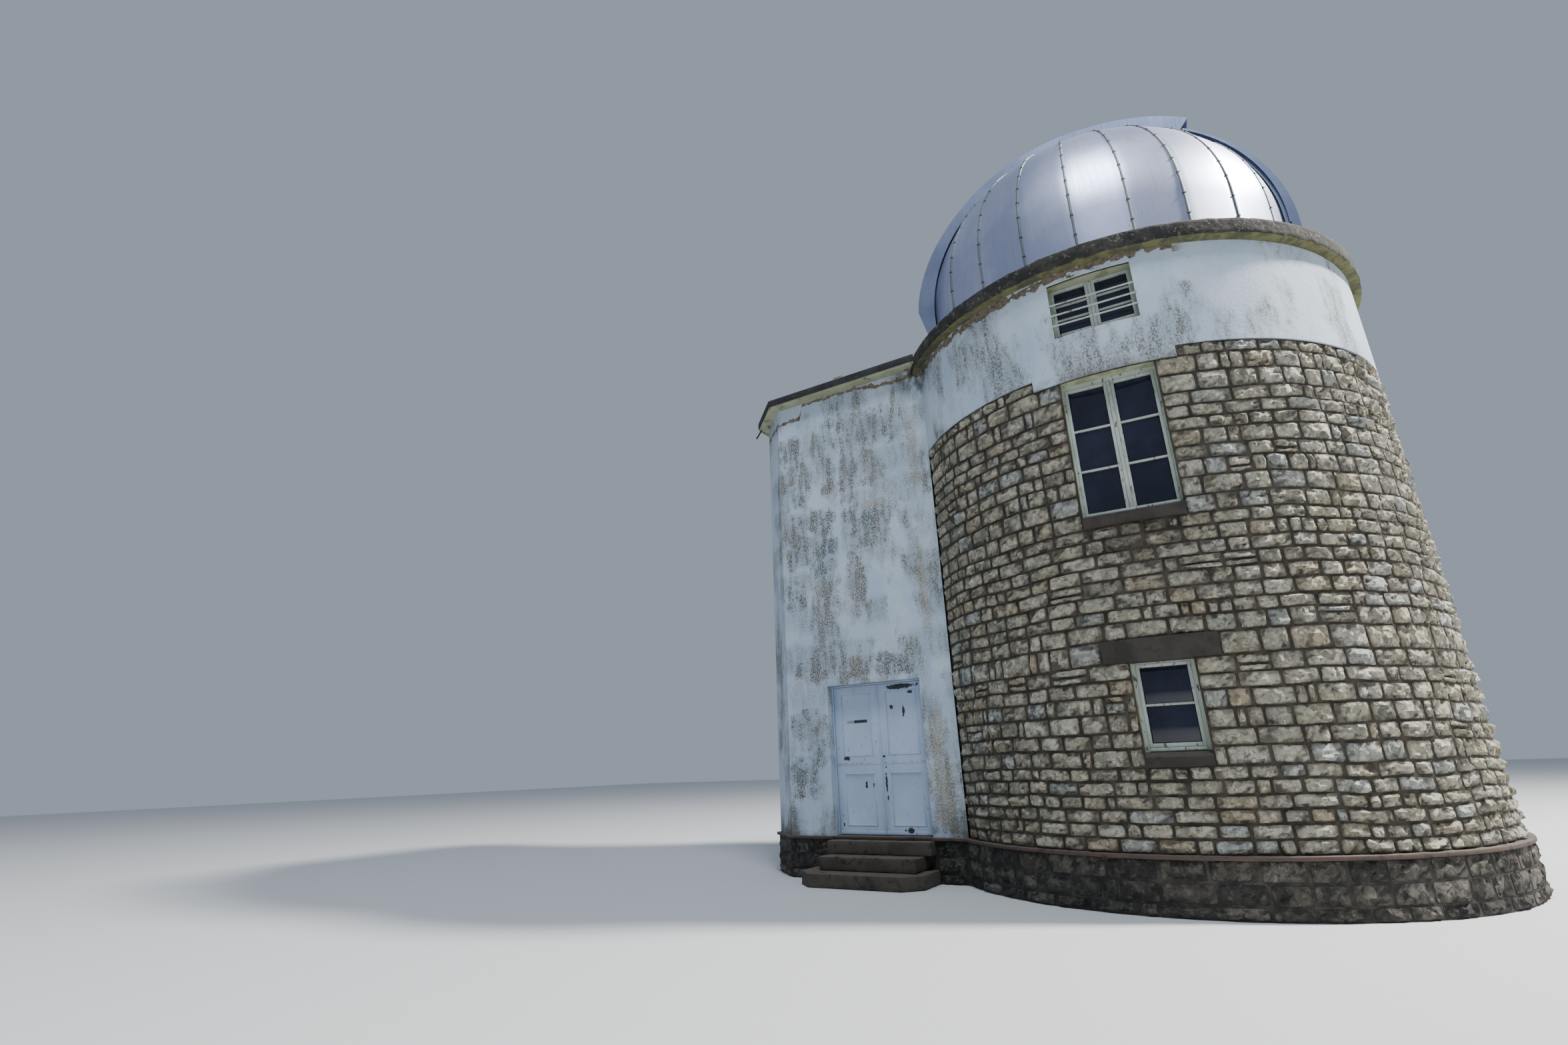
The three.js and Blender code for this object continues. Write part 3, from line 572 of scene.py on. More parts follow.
# Plinth: a low course and two tall ones of blackened stone blocks, under the walls of both towers.
# The blocks are rooted 30 mm into the plain solid behind them, which shows in the joints.
PLINTH_COURSES = [0.0, 0.130, 0.335, 0.542]
PLINTH_R = 3.294
PLINTH_REACH = 144.0
PLINTH_JOINT = 0.010
PLINTH_RELIEF = (0.022, 0.034)
PLINTH_ROOT = 0.03
ROUND_WIDTHS, ROUND_SMALL_SHARE = (0.30, 0.52), 0.06
TOWER_WIDTHS, TOWER_SMALL_SHARE = (0.26, 0.46), 0.05
TOWER_PLINTH = {
    "front_left": ((-5.479, -1.909, 0), (1, 0, 0), (0, -1, 0), 0.724),
    "front_right": ((-3.134, -1.909, 0), (1, 0, 0), (0, -1, 0), 0.420),
    "front_corner": ((-6.053, -1.335, 0), (1, -1, 0), (-1, -1, 0), 0.808),
    "end": ((-6.053, 1.335, 0), (0, -1, 0), (-1, 0, 0), 2.665),
    "rear_corner": ((-5.479, 1.909, 0), (-1, -1, 0), (-1, 1, 0), 0.808),
    "rear": ((-2.712, 1.909, 0), (-1, 0, 0), (0, 1, 0), 2.764)}
plinth_stone = stone_finish(
    "plinth_blackened_stone", [
        (0.076, 0.070, 0.058, 1), (0.036, 0.034, 0.031, 1), (0.135, 0.125, 0.104, 1),
        (0.052, 0.048, 0.042, 1), (0.100, 0.092, 0.075, 1)],
    (0.010, 0.009, 0.008, 1), 0.52)
plinth_bed, plinth_tree, plinth_sockets = new_finish("plinth_mortar", 0.95)
plinth_colour = blend(
    plinth_tree, patches(plinth_tree, 5.0, 0.42, 0.62), (0.018, 0.017, 0.015, 1), (0.055, 0.050, 0.042, 1))
plinth_tree.links.new(plinth_colour, plinth_sockets["Base Color"])
emboss(plinth_tree, plinth_sockets, grain(plinth_tree, 60.0, 0.6), 0.006)
finish_solids(plinth_bed, "plinth")


def face_place(start, direction, outward):
    """Puts a point of a flat wall face: along the face, up, and out from it."""
    start, direction, outward = Vector(start), Vector(direction).normalized(), Vector(outward).normalized()

    def place(s, z, out):
        return start + direction * s + Vector((0, 0, z)) + outward * out
    return place


plinth_dice = random.Random(77)
drum_rows = lay_courses(
    PLINTH_COURSES, (along(-PLINTH_REACH), along(PLINTH_REACH)), [], plinth_dice, ROUND_WIDTHS,
    ROUND_SMALL_SHARE, 0.0)
drum_rows = carve_blocks(
    drum_rows, drum_place(PLINTH_R), plinth_dice, PLINTH_JOINT, PLINTH_RELIEF, PLINTH_ROOT)
make_piece(drum_rows, "round_plinth_stones", plinth_stone, "building", 38)
for side, (corner, direction, outward, length) in TOWER_PLINTH.items():
    rows = lay_courses(
        PLINTH_COURSES, (0.004, length), [], plinth_dice, TOWER_WIDTHS, TOWER_SMALL_SHARE, 0.0)
    rows = carve_blocks(
        rows, face_place(corner, direction, outward), plinth_dice, PLINTH_JOINT, PLINTH_RELIEF, PLINTH_ROOT)
    make_piece(rows, "tower_plinth_stones_" + side, plinth_stone, "building", 38)


# Cap course, steps, sills and lintels: cast concrete and cast stone with worn arrises and a rough
# skin. Each is the solid's shape with its arrises rounded, and all but the cap have uneven faces.
DENTS_A_METRE, FINER_DENTS = 9.0, 3.1


def wear(node, arris, pitch=0, roughness=0.0):
    """The solid with rounded arrises; a pitch cuts its faces up so that they can be uneven."""
    shape = copy_solid(node)
    bmesh.ops.dissolve_limit(
        shape, angle_limit=math.radians(0.6), verts=shape.verts[:], edges=shape.edges[:])
    sharp = [
        e for e in shape.edges if len(e.link_faces) == 2 and e.calc_face_angle(0) > math.radians(35)]
    bmesh.ops.bevel(
        shape, geom=sharp, offset=arris, offset_type="OFFSET", segments=2, profile=0.5,
        affect="EDGES", clamp_overlap=True, material=-1)
    if pitch:
        low = Vector([min(v.co[k] for v in shape.verts) for k in range(3)])
        high = Vector([max(v.co[k] for v in shape.verts) for k in range(3)])
        for k in range(3):
            count = int((high[k] - low[k]) / pitch)
            for i in range(1, count + 1):
                cut = Vector((0, 0, 0))
                cut[k] = low[k] + (high[k] - low[k]) * i / (count + 1)
                normal = Vector((0, 0, 0))
                normal[k] = 1
                bmesh.ops.bisect_plane(
                    shape, geom=shape.verts[:] + shape.edges[:] + shape.faces[:], dist=1e-6,
                    plane_co=cut, plane_no=normal)
    shape.normal_update()
    for v in shape.verts:
        wide = v.co * DENTS_A_METRE
        dent = noise.noise(wide) + 0.5 * noise.noise(wide * FINER_DENTS)
        v.co += v.normal * (roughness * (dent - 0.6))
    return shape


def split_xyz(tree, vector):
    return put(tree, "ShaderNodeSeparateXYZ", {0: vector}).outputs


def mineral(name, base, second, dirt, dirt_low, scale=3.0, grain_scale=60.0, depth=0.004, top=None):
    """Concrete or cast stone: two clouded colours, dirt patches, and an own colour on top faces."""
    finish, tree, sockets = new_finish(name, 0.92)
    colour = blend(tree, patches(tree, scale, 0.40, 0.62), base, second)
    if top:
        upward = split_xyz(tree, put(tree, "ShaderNodeNewGeometry").outputs["Normal"])[2]
        colour = blend(tree, fade(tree, upward, 0.3, 0.8), colour, top)
    dirty = patches(tree, scale * 2.3, dirt_low, dirt_low + 0.13, shift=6.0)
    colour = coat(tree, colour, dirty, 0.85, dirt)
    colour = coat(tree, colour, patches(tree, 70.0, 0.57, 0.64), 0.45, dirt)
    tree.links.new(colour, sockets["Base Color"])
    emboss(tree, sockets, grain(tree, grain_scale, 0.7), depth)
    return finish


cap_finish = mineral(
    "cap_red_brown_cast_stone", (0.092, 0.058, 0.046, 1), (0.066, 0.050, 0.042, 1),
    (0.030, 0.025, 0.021, 1), 0.54, top=(0.120, 0.098, 0.084, 1))
cap = wear("plinth_cap", 0.008)
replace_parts(make_piece(cap, "plinth_cap_worn", cap_finish, "building"), "plinth_cap")

step_finish = mineral(
    "step_worn_concrete", (0.075, 0.064, 0.052, 1), (0.048, 0.043, 0.036, 1), (0.020, 0.019, 0.016, 1),
    0.54, top=(0.120, 0.092, 0.072, 1))
for node in ("entrance_step_bottom", "entrance_step_middle", "entrance_landing"):
    step = wear(node, 0.014, 0.09, 0.006)
    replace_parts(make_piece(step, node + "_worn", step_finish, "building"), node)

dark_cast = mineral(
    "dark_cast_stone", (0.046, 0.040, 0.033, 1), (0.026, 0.023, 0.020, 1), (0.011, 0.010, 0.009, 1), 0.58,
    top=(0.075, 0.066, 0.056, 1))
for side in ("front", "rear"):
    for part in ("lower_window_sill", "main_window_sill", "lower_window_lintel"):
        node = side + "_" + part
        cast = wear(node, 0.005, 0.08, 0.0025)
        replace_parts(make_piece(cast, node + "_worn", dark_cast, "building"), node)

# Floors: plain trowelled concrete, cast between the walls at the ground, at the first floor and
# under the dome. They keep the shapes of their solids.
inside_concrete = mineral(
    "inside_concrete", (0.30, 0.29, 0.27, 1), (0.24, 0.23, 0.21, 1), (0.15, 0.14, 0.12, 1), 0.62)
finish_solids(
    inside_concrete, "ground_floor_round_room", "ground_floor_stair_tower", "first_floor_slab",
    "observing_floor_slab")

# Cornice: a heavy cast concrete ring that lies on the painted band, black with growth outside and
# green below, its edge chipped and uneven.
CORNICE_SECTION = [
    (2.726, 7.704), (3.300, 7.704), (3.370, 7.705), (3.394, 7.710), (3.404, 7.728), (3.407, 7.775),
    (3.407, 7.830), (3.407, 7.890), (3.402, 7.930), (3.387, 7.947), (3.350, 7.952), (3.100, 7.952),
    (2.726, 7.952)]
CHIPPED_FROM_R = 3.33
CHIP_MEAN, CHIP_SWING = 0.005, 0.010
cornice_finish, cornice_tree, cornice_sockets = new_finish("cornice_mossy_concrete", 0.96)
cornice_colour = blend(
    cornice_tree, patches(cornice_tree, 4.0, 0.42, 0.60), (0.016, 0.016, 0.015, 1),
    (0.042, 0.040, 0.035, 1))
cornice_specks = patches(cornice_tree, 16.0, 0.57, 0.63, shift=4.0)
cornice_colour = coat(cornice_tree, cornice_colour, cornice_specks, 0.7, (0.150, 0.138, 0.114, 1))
cornice_upward = split_xyz(cornice_tree, put(cornice_tree, "ShaderNodeNewGeometry").outputs["Normal"])[2]
cornice_under = fade(cornice_tree, times(cornice_tree, cornice_upward, -1.0), 0.35, 0.75)
cornice_green = blend(
    cornice_tree, patches(cornice_tree, 5.0, 0.42, 0.6, shift=2.0), (0.135, 0.138, 0.060, 1),
    (0.070, 0.069, 0.040, 1))
cornice_colour = blend(cornice_tree, cornice_under, cornice_colour, cornice_green)
cornice_tree.links.new(cornice_colour, cornice_sockets["Base Color"])
emboss(cornice_tree, cornice_sockets, grain(cornice_tree, 34.0, 0.9), 0.012, 0.9)


def turned_profile(section, steps, closed=False):
    """A profile of radius and height, turned once round the vertical axis."""
    shape = bmesh.new()
    points = [shape.verts.new((r, 0, z)) for r, z in section]
    ends = points[1:] + points[:1] if closed else points[1:]
    edges = [shape.edges.new(pair) for pair in zip(points, ends)]
    bmesh.ops.spin(
        shape, geom=points + edges, cent=(0, 0, 0), axis=(0, 0, 1), dvec=(0, 0, 0), angle=math.tau,
        steps=steps, use_merge=True)
    bmesh.ops.remove_doubles(shape, verts=shape.verts, dist=1e-5)
    return shape


cornice = turned_profile(CORNICE_SECTION, 360, closed=True)
bmesh.ops.recalc_face_normals(cornice, faces=cornice.faces)
cornice.normal_update()
for v in cornice.verts:
    if math.hypot(v.co.x, v.co.y) > CHIPPED_FROM_R:
        chip = noise.noise(v.co * 6) * 0.5 + noise.noise(v.co * 19) * 0.6 + noise.noise(v.co * 41) * 0.35
        v.co -= v.normal * max(0.0, CHIP_MEAN + CHIP_SWING * chip)
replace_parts(make_piece(cornice, "cornice_weathered", cornice_finish, "building", 50), "cornice")

# Painted render of the stair tower and of the band under the cornice: trowelled plaster with pale
# paint, given a blue cast that is painted shade, rows of grey-green and brown growth, run-down dirt,
# and broken brown plaster at the head. A stain is its middle's X and Z, and half its width and height.
TOWER_STAINS = [
    (-5.06, 6.32, 0.20, 0.48), (-4.49, 6.27, 0.16, 0.46), (-4.16, 6.12, 0.14, 0.57),
    (-3.73, 6.26, 0.24, 0.32), (-4.19, 7.11, 0.41, 0.30), (-3.48, 6.96, 0.36, 0.34),
    (-5.20, 5.44, 0.34, 0.30), (-4.71, 5.46, 0.26, 0.30), (-5.20, 4.98, 0.36, 0.25),
    (-4.70, 4.88, 0.29, 0.39), (-4.11, 5.42, 0.19, 0.34), (-3.70, 5.30, 0.29, 0.39),
    (-5.26, 4.28, 0.24, 0.25), (-4.63, 4.22, 0.24, 0.41), (-4.10, 4.46, 0.17, 0.62),
    (-5.26, 6.93, 0.24, 0.30), (-4.88, 3.04, 0.48, 0.23), (-4.05, 3.02, 0.60, 0.18),
    (-3.42, 2.99, 0.36, 0.16), (-5.10, 2.18, 0.34, 0.23), (-4.96, 1.78, 0.17, 0.23),
    (-5.20, 1.40, 0.26, 0.30)]
TOWER_OCHRE = [
    (-2.92, 5.90, 0.20, 0.12), (-2.94, 6.50, 0.10, 0.50), (-3.70, 5.62, 0.22, 0.08),
    (-2.97, 4.05, 0.09, 0.70), (-2.98, 1.90, 0.10, 0.60), (-2.97, 1.30, 0.13, 0.46),
    (-2.96, 0.92, 0.16, 0.24)]
FRONT_Y = -1.80
CORNER_HEAD = (-2.66, -1.92, 7.72)


def placed_mark(name, power, ragged, low, high, scale, detail, roughness):
    """A shared effect: one ragged mark at a place on the entrance front, as a mask."""
    tree, given, out = effect(
        name, {"Middle X": 0.0, "Middle Z": 0.0, "Half Width": 0.1, "Half Height": 0.1}, ["Mask"])
    here = here_on(tree)
    where = split_xyz(tree, here)
    far = times(tree, minus(tree, cloud(tree, here, scale, detail, roughness), 0.5), ragged)
    for part, middle, half in ((where[0], "Middle X", "Half Width"), (where[2], "Middle Z", "Half Height")):
        aside = arith(tree, "DIVIDE", minus(tree, part, given[middle]), given[half])
        far = plus(tree, far, arith(tree, "POWER", arith(tree, "ABSOLUTE", aside), power))
    tree.links.new(wane(tree, far, low, high), out["Mask"])
    return tree


def gather(tree, mark_tree, places):
    """The union of marks at given places."""
    union = 0.0
    for x, z, half_width, half_height in places:
        mark = use(tree, mark_tree, **{
            "Middle X": x, "Middle Z": z, "Half Width": half_width, "Half Height": half_height})
        union = arith(tree, "MAXIMUM", union, mark)
    return union


stain_tree = placed_mark("stain_place", 3.0, 7.0, -0.3, 1.7, 4.2, 9.0, 0.72)


def on_front(tree, where, places):
    """Stains at given places, on the entrance front alone."""
    return times(tree, gather(tree, stain_tree, places), wane(tree, where[1], FRONT_Y, FRONT_Y + 0.10))


def growth_rows(tree, here, where, row_share, row_height):
    """Growth in rough rows, with some squares of a row filled, and loose clouds between them."""
    drift = cloud(tree, here, 2.6, 8.0, 0.68)
    row = plus(tree, arith(tree, "DIVIDE", where[2], row_height), times(tree, drift, 0.55))
    row_index = arith(tree, "FLOOR", row)
    row_part = arith(tree, "FRACT", row)
    in_row = times(tree, fade(tree, row_part, 0.0, 0.35), wane(tree, row_part, 0.72, 0.98))
    run = minus(tree, where[0], where[1])
    column = plus(tree, times(tree, run, 2.3), times(tree, row_index, 0.37))
    column = plus(tree, column, times(tree, drift, 1.3))
    square = join_xyz(tree, arith(tree, "FLOOR", column), row_index, 0.0)
    square = put(tree, "ShaderNodeTexWhiteNoise", {"Vector": square}).outputs["Value"]
    filled = times(tree, fade(tree, square, 1.0 - row_share, 1.25 - row_share), in_row)
    loose = patches(tree, 1.3, 0.47, 0.62, stretch=0.5, shift=8.0)
    filled = times(tree, filled, plus(tree, 0.30, times(tree, loose, 0.70)))
    return arith(tree, "MAXIMUM", filled, times(tree, loose, 0.60))


def torn_plaster(tree, here, where, torn_line, torn_width):
    """A ragged strip along a line, where the paint and the plaster have broken off."""
    ragged = times(tree, minus(tree, cloud(tree, here, 3.2, 9.0), 0.5), 0.22)
    line = plus(tree, torn_line(tree, where), ragged)
    off_line = arith(tree, "ABSOLUTE", minus(tree, where[2], line))
    bitten = times(tree, fade(tree, cloud(tree, here, 9.0, 6.0), 0.38, 0.58), torn_width * 1.6)
    off_line = minus(tree, off_line, bitten)
    strip = wane(tree, off_line, torn_width * 0.35, torn_width * 0.35 + 0.005)
    return times(tree, strip, wane(tree, where[0], 1.15, 1.35))


def render_finish(name, row_share, row_height, torn_line, torn_width, foot_z, stains=(), ochre=()):
    """Painted render with rows of growth, placed stains, torn plaster and a splashed foot."""
    finish, tree, sockets = new_finish(name, 0.86)
    here = here_on(tree)
    where = split_xyz(tree, here)
    # Painted shade: both paint colours are darkened and blued to stand for sky-lit shade on the walls.
    colour = blend(tree, patches(tree, 1.1, 0.35, 0.65), (0.42, 0.525, 0.65, 1), (0.53, 0.62, 0.71, 1))
    stained = growth_rows(tree, here, where, row_share, row_height)
    streaks = patches(tree, 11.0, 0.42, 0.60, stretch=0.20, shift=1.0)
    speckle = patches(tree, 52.0, 0.46, 0.54, stretch=0.7)
    broken = times(tree, plus(tree, 0.55, streaks), plus(tree, 0.30, speckle))
    cover = times(tree, stained, broken)
    if stains:
        thick = plus(tree, 0.12, times(tree, broken, 0.72))
        cover = arith(tree, "MAXIMUM", cover, times(tree, on_front(tree, where, stains), thick))
    cover = arith(tree, "MINIMUM", 1.0, cover)
    growth_colour = blend(
        tree, patches(tree, 2.4, 0.44, 0.56, shift=12.0), (0.082, 0.084, 0.064, 1),
        (0.135, 0.105, 0.064, 1))
    colour = coat(tree, colour, cover, 0.95, growth_colour)
    colour = coat(tree, colour, stained, 0.40, (0.225, 0.250, 0.235, 1))
    if ochre:
        thick = plus(tree, 0.22, times(tree, speckle, 0.55))
        rusty = arith(tree, "MINIMUM", 1.0, times(tree, on_front(tree, where, ochre), thick))
        colour = blend(tree, rusty, colour, (0.29, 0.245, 0.160, 1))
    colour = coat(tree, colour, patches(tree, 34.0, 0.64, 0.68, shift=15.0), 0.7, (0.085, 0.075, 0.055, 1))
    splash = times(
        tree, wane(tree, where[2], foot_z + 0.02, foot_z + 0.34), patches(tree, 4.0, 0.36, 0.62))
    colour = coat(tree, colour, splash, 0.8, (0.09, 0.085, 0.07, 1))
    torn = torn_plaster(tree, here, where, torn_line, torn_width)
    bare_plaster = blend(
        tree, patches(tree, 20.0, 0.45, 0.6), (0.215, 0.175, 0.125, 1), (0.105, 0.088, 0.066, 1))
    colour = blend(tree, torn, colour, bare_plaster)
    aside = vector_step(tree, "DISTANCE", here, CORNER_HEAD)
    growth = times(tree, wane(tree, aside, 0.18, 0.62), patches(tree, 9.0, 0.36, 0.56, stretch=0.4))
    colour = coat(tree, colour, growth, 0.9, (0.050, 0.054, 0.034, 1))
    tree.links.new(colour, sockets["Base Color"])
    height = minus(tree, grain(tree, 30.0, 0.35), times(tree, torn, 1.2))
    height = minus(tree, height, times(tree, cover, 0.25))
    emboss(tree, sockets, height, 0.006, 0.8)
    return finish


def tower_torn_line(tree, where):
    """The crack runs low at the outer corner, climbs to the soffit and falls again towards the drum."""
    climb = times(tree, fade(tree, where[0], -5.02, -4.93), 0.26)
    fall = times(tree, fade(tree, where[0], -4.30, -3.20), 0.09)
    return minus(tree, plus(tree, 7.53, climb), fall)


def band_torn_line(tree, where):
    """The plaster has broken off under the cornice, most of all towards the stair tower."""
    return plus(tree, 7.645, times(tree, fade(tree, where[0], -0.9, 0.5), 0.045))


tower_render = render_finish(
    "tower_painted_render", 0.62, 0.62, tower_torn_line, 0.022, 0.58, TOWER_STAINS, TOWER_OCHRE)
band_render = render_finish("band_painted_render", 0.12, 1.60, band_torn_line, 0.036, 6.0)
finish_solids(
    tower_render, "stair_tower_wall_left_of_door", "stair_tower_wall_over_door",
    "stair_tower_wall_right_of_door", "stair_tower_end_wall", "stair_tower_back_wall")
band = copy_solid("render_band")
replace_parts(make_piece(band, "render_band_smooth", band_render, "building", 20), "render_band")

# Roof of the stair tower: a cast slab painted green-grey below, laid on the walls, with a black
# sheet edge folded round it and a short round rain spout in the same black below.
soffit_finish = mineral(
    "roof_slab_painted_concrete", (0.30, 0.32, 0.21, 1), (0.38, 0.40, 0.29, 1),
    (0.085, 0.078, 0.055, 1), 0.54, top=(0.10, 0.10, 0.095, 1))
slab = wear("stair_tower_roof_slab", 0.006)
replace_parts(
    make_piece(slab, "stair_tower_roof_slab_worn", soffit_finish, "building"),
    "stair_tower_roof_slab")
black_edge = mineral(
    "black_sheet_edge", (0.014, 0.014, 0.016, 1), (0.030, 0.030, 0.032, 1), (0.16, 0.16, 0.16, 1), 0.70,
    scale=2.0, grain_scale=25.0, depth=0.002)
flashing = wear("roof_edge_flashing", 0.003)
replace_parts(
    make_piece(flashing, "roof_edge_flashing_folded", black_edge, "building"),
    "roof_edge_flashing")
finish_solids(black_edge, "roof_rain_spout")

# Roof edge clip: a small folded metal strip, left standing on the black edge of the stair tower's
# roof.
CLIP_OUTS = (-2.090, -2.052)
CLIP_BARS = [
    ((-4.196, -4.184), (7.960, 7.992)), ((-4.040, -4.028), (7.960, 8.000)),
    ((-4.196, -4.028), (7.990, 7.998))]
upright = Matrix(((1, 0, 0, 0), (0, 0, 1, 0), (0, 1, 0, 0), (0, 0, 0, 1)))


def add_bar(shape, across, up, out, axes, arris):
    """A square-edged bar with rounded arrises between pairs of limits, in given axes."""
    limits = (across, up, out)
    made = bmesh.ops.create_cube(shape, size=1)["verts"]
    sized = Matrix.Diagonal([high - low for low, high in limits] + [1])
    placed = Matrix.Translation([(low + high) / 2 for low, high in limits])
    bmesh.ops.transform(shape, matrix=axes @ placed @ sized, verts=made)
    edges = list({e for v in made for e in v.link_edges})
    bmesh.ops.bevel(
        shape, geom=edges, offset=arris, offset_type="OFFSET", segments=2, profile=0.5, affect="EDGES",
        clamp_overlap=True, material=-1)


clip_strip = bmesh.new()
for across, up in CLIP_BARS:
    add_bar(clip_strip, across, up, CLIP_OUTS, upright, 0.0015)
strip_metal = mineral(
    "roof_clip_zinc", (0.42, 0.40, 0.40, 1), (0.30, 0.28, 0.28, 1), (0.10, 0.08, 0.07, 1), 0.60, depth=0.001)
make_piece(clip_strip, "roof_edge_clip", strip_metal, "building")

# Windows: pale painted wooden casements with thin glazing bars and a putty bed round each pane, set
# 185 mm back in the wall. The lower and main ones have a drip board at the foot, and three round
# security bars cross each upper one. Depths are distances from the round tower's axis.
WINDOWS = {
    "lower": {"panes": [(-0.242, 0.242)], "low": 1.6773, "high": 2.4957, "bars": [2.084], "foot": 1.5933},
    "main": {"panes": [(-0.4875, -0.061), (0.061, 0.4875)], "low": 4.3803, "high": 6.0337,
             "bars": [4.935, 5.485], "foot": 4.3363},
    "upper": {"panes": [(-0.454, -0.062), (0.062, 0.454)], "low": 6.9103, "high": 7.5347,
              "bars": [7.110, 7.328], "foot": None}}
PUTTY, PUTTY_TOP, PUTTY_GAP = 0.039, 0.036, 0.002
PUTTY_DEPTH = (3.054, 3.067)
BAR_HALF, BAR_PAST, BAR_DEPTH = 0.013, 0.001, (3.020, 3.055)
PANE_GAP, PANE_DEPTH = 0.0005, (3.027, 3.031)
MEETING_HALF, MEETING_DEPTH = 0.020, (3.063, 3.077)
DRIP_PAST, DRIP_HEIGHT, DRIP_DEPTH = 0.034, 0.034, (3.054, 3.087)
SECURITY_LEVELS = (6.950, 7.105, 7.259)
SECURITY_R, SECURITY_LENGTH, SECURITY_DEPTH = 0.011, 1.05, 3.232

window_paint, paint_tree, paint_sockets = new_finish("window_flaking_paint", 0.6)
paint_colour = blend(
    paint_tree, patches(paint_tree, 3.0, 0.4, 0.6), (0.46, 0.52, 0.48, 1), (0.38, 0.44, 0.39, 1))
paint_bare = patches(paint_tree, 26.0, 0.60, 0.63, stretch=0.35)
paint_colour = blend(paint_tree, paint_bare, paint_colour, (0.12, 0.10, 0.075, 1))
paint_tree.links.new(paint_colour, paint_sockets["Base Color"])
emboss(paint_tree, paint_sockets, minus(paint_tree, grain(paint_tree, 55.0, 0.2), paint_bare), 0.002)

pane_glass, pane_tree, pane_sockets = new_finish("window_pane_glass", 0.04)
# Painted shade: the panes are opaque, and their dark blue stands for the shaded room behind the glass.
pane_painted_shade = blend(
    pane_tree, patches(pane_tree, 1.6, 0.40, 0.62), (0.006, 0.008, 0.020, 1), (0.013, 0.017, 0.036, 1))
pane_tree.links.new(pane_painted_shade, pane_sockets["Base Color"])
pane_smear = times(pane_tree, patches(pane_tree, 4.0, 0.45, 0.7), 0.12)
pane_tree.links.new(plus(pane_tree, 0.03, pane_smear), pane_sockets["Roughness"])
pane_sockets["Specular IOR Level"].default_value = 0.5


def window_turn(azimuth):
    """The window's own axes: across the window, up, and out from the tower's axis."""
    a = math.radians(azimuth)
    return Matrix((
        (-math.sin(a), 0, math.cos(a), 0), (math.cos(a), 0, math.sin(a), 0), (0, 1, 0, 0), (0, 0, 0, 1)))


def add_putty(wood, x0, x1, low, high, axes):
    """The putty bed: two uprights and two rails round one pane of a casement."""
    for across, up in (
            ((x0 - PUTTY, x0 - PUTTY_GAP), (low - PUTTY, high + PUTTY_TOP)),
            ((x1 + PUTTY_GAP, x1 + PUTTY), (low - PUTTY, high + PUTTY_TOP)),
            ((x0 - PUTTY_GAP, x1 + PUTTY_GAP), (high + PUTTY_GAP, high + PUTTY_TOP)),
            ((x0 - PUTTY_GAP, x1 + PUTTY_GAP), (low - PUTTY, low - PUTTY_GAP))):
        add_bar(wood, across, up, PUTTY_DEPTH, axes, 0.004)


for side, azimuth in (("front", WINDOW_AZIMUTH), ("rear", WINDOW_AZIMUTH + 180)):
    turned = window_turn(azimuth)
    for kind, window in WINDOWS.items():
        wood = bmesh.new()
        panes = bmesh.new()
        low, high = window["low"], window["high"]
        levels = [low] + window["bars"] + [high]
        for x0, x1 in window["panes"]:
            add_putty(wood, x0, x1, low, high, turned)
            for z in window["bars"]:
                add_bar(
                    wood, (x0 - BAR_PAST, x1 + BAR_PAST), (z - BAR_HALF, z + BAR_HALF), BAR_DEPTH, turned,
                    0.005)
            for z0, z1 in zip(levels, levels[1:]):
                add_bar(
                    panes, (x0 + PANE_GAP, x1 - PANE_GAP), (z0 + PANE_GAP, z1 - PANE_GAP), PANE_DEPTH,
                    turned, 0.0005)
        if len(window["panes"]) > 1:
            add_bar(
                wood, (-MEETING_HALF, MEETING_HALF), (low - PUTTY, high + PUTTY_TOP), MEETING_DEPTH,
                turned, 0.005)
        if window["foot"]:
            span = window["panes"][-1][1] + DRIP_PAST
            drip = (window["foot"], window["foot"] + DRIP_HEIGHT)
            add_bar(wood, (-span, span), drip, DRIP_DEPTH, turned, 0.009)
        name = side + "_" + kind + "_window"
        make_piece(wood, name + "_joinery", window_paint, "building")
        glazing = make_piece(panes, name + "_panes", pane_glass, "building")
        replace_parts(glazing, name + "_glass")
        finish_solids(window_paint, name + "_frame")
    rods = bmesh.new()
    lying = Matrix.Rotation(math.radians(90), 4, "Y")
    for z in SECURITY_LEVELS:
        made = bmesh.ops.create_cone(
            rods, cap_ends=True, cap_tris=False, segments=14, radius1=SECURITY_R, radius2=SECURITY_R,
            depth=SECURITY_LENGTH)["verts"]
        placed = turned @ Matrix.Translation((0, z, SECURITY_DEPTH)) @ lying
        bmesh.ops.transform(rods, matrix=placed, verts=made)
    make_piece(rods, side + "_security_bars", window_paint, "building")

# Entrance: two framed and panelled wooden leaves in pale blue-grey paint, chipped to dark wood, with
# thin beads round the panels, a seam at half height and a strip over the meeting of the leaves. They
# hang in a plain frame. A chip is its middle's X and Z, and half its width and height.
DOOR_LEAVES = {
    "door_leaf_left": ("left_door", -4.711, -3.963), "door_leaf_right": ("right_door", -3.953, -3.205)}
LEAF_EDGE = 0.001
DOOR_PANELS = ((0.706, 1.454), (1.694, 2.624))
PANEL_MARGIN, BEAD = 0.118, 0.018
BEAD_OUT, RAIL_OUT, SEAM_OUT = (-1.7230, -1.702), (-1.7230, -1.714), (-1.7205, -1.714)
SEAM_UP, FOOT_RAIL_UP = (1.571, 1.587), (0.592, 0.642)
MEETING_STRIP = ((-3.976, -3.950), (0.592, 2.733), (-1.7260, -1.7155))
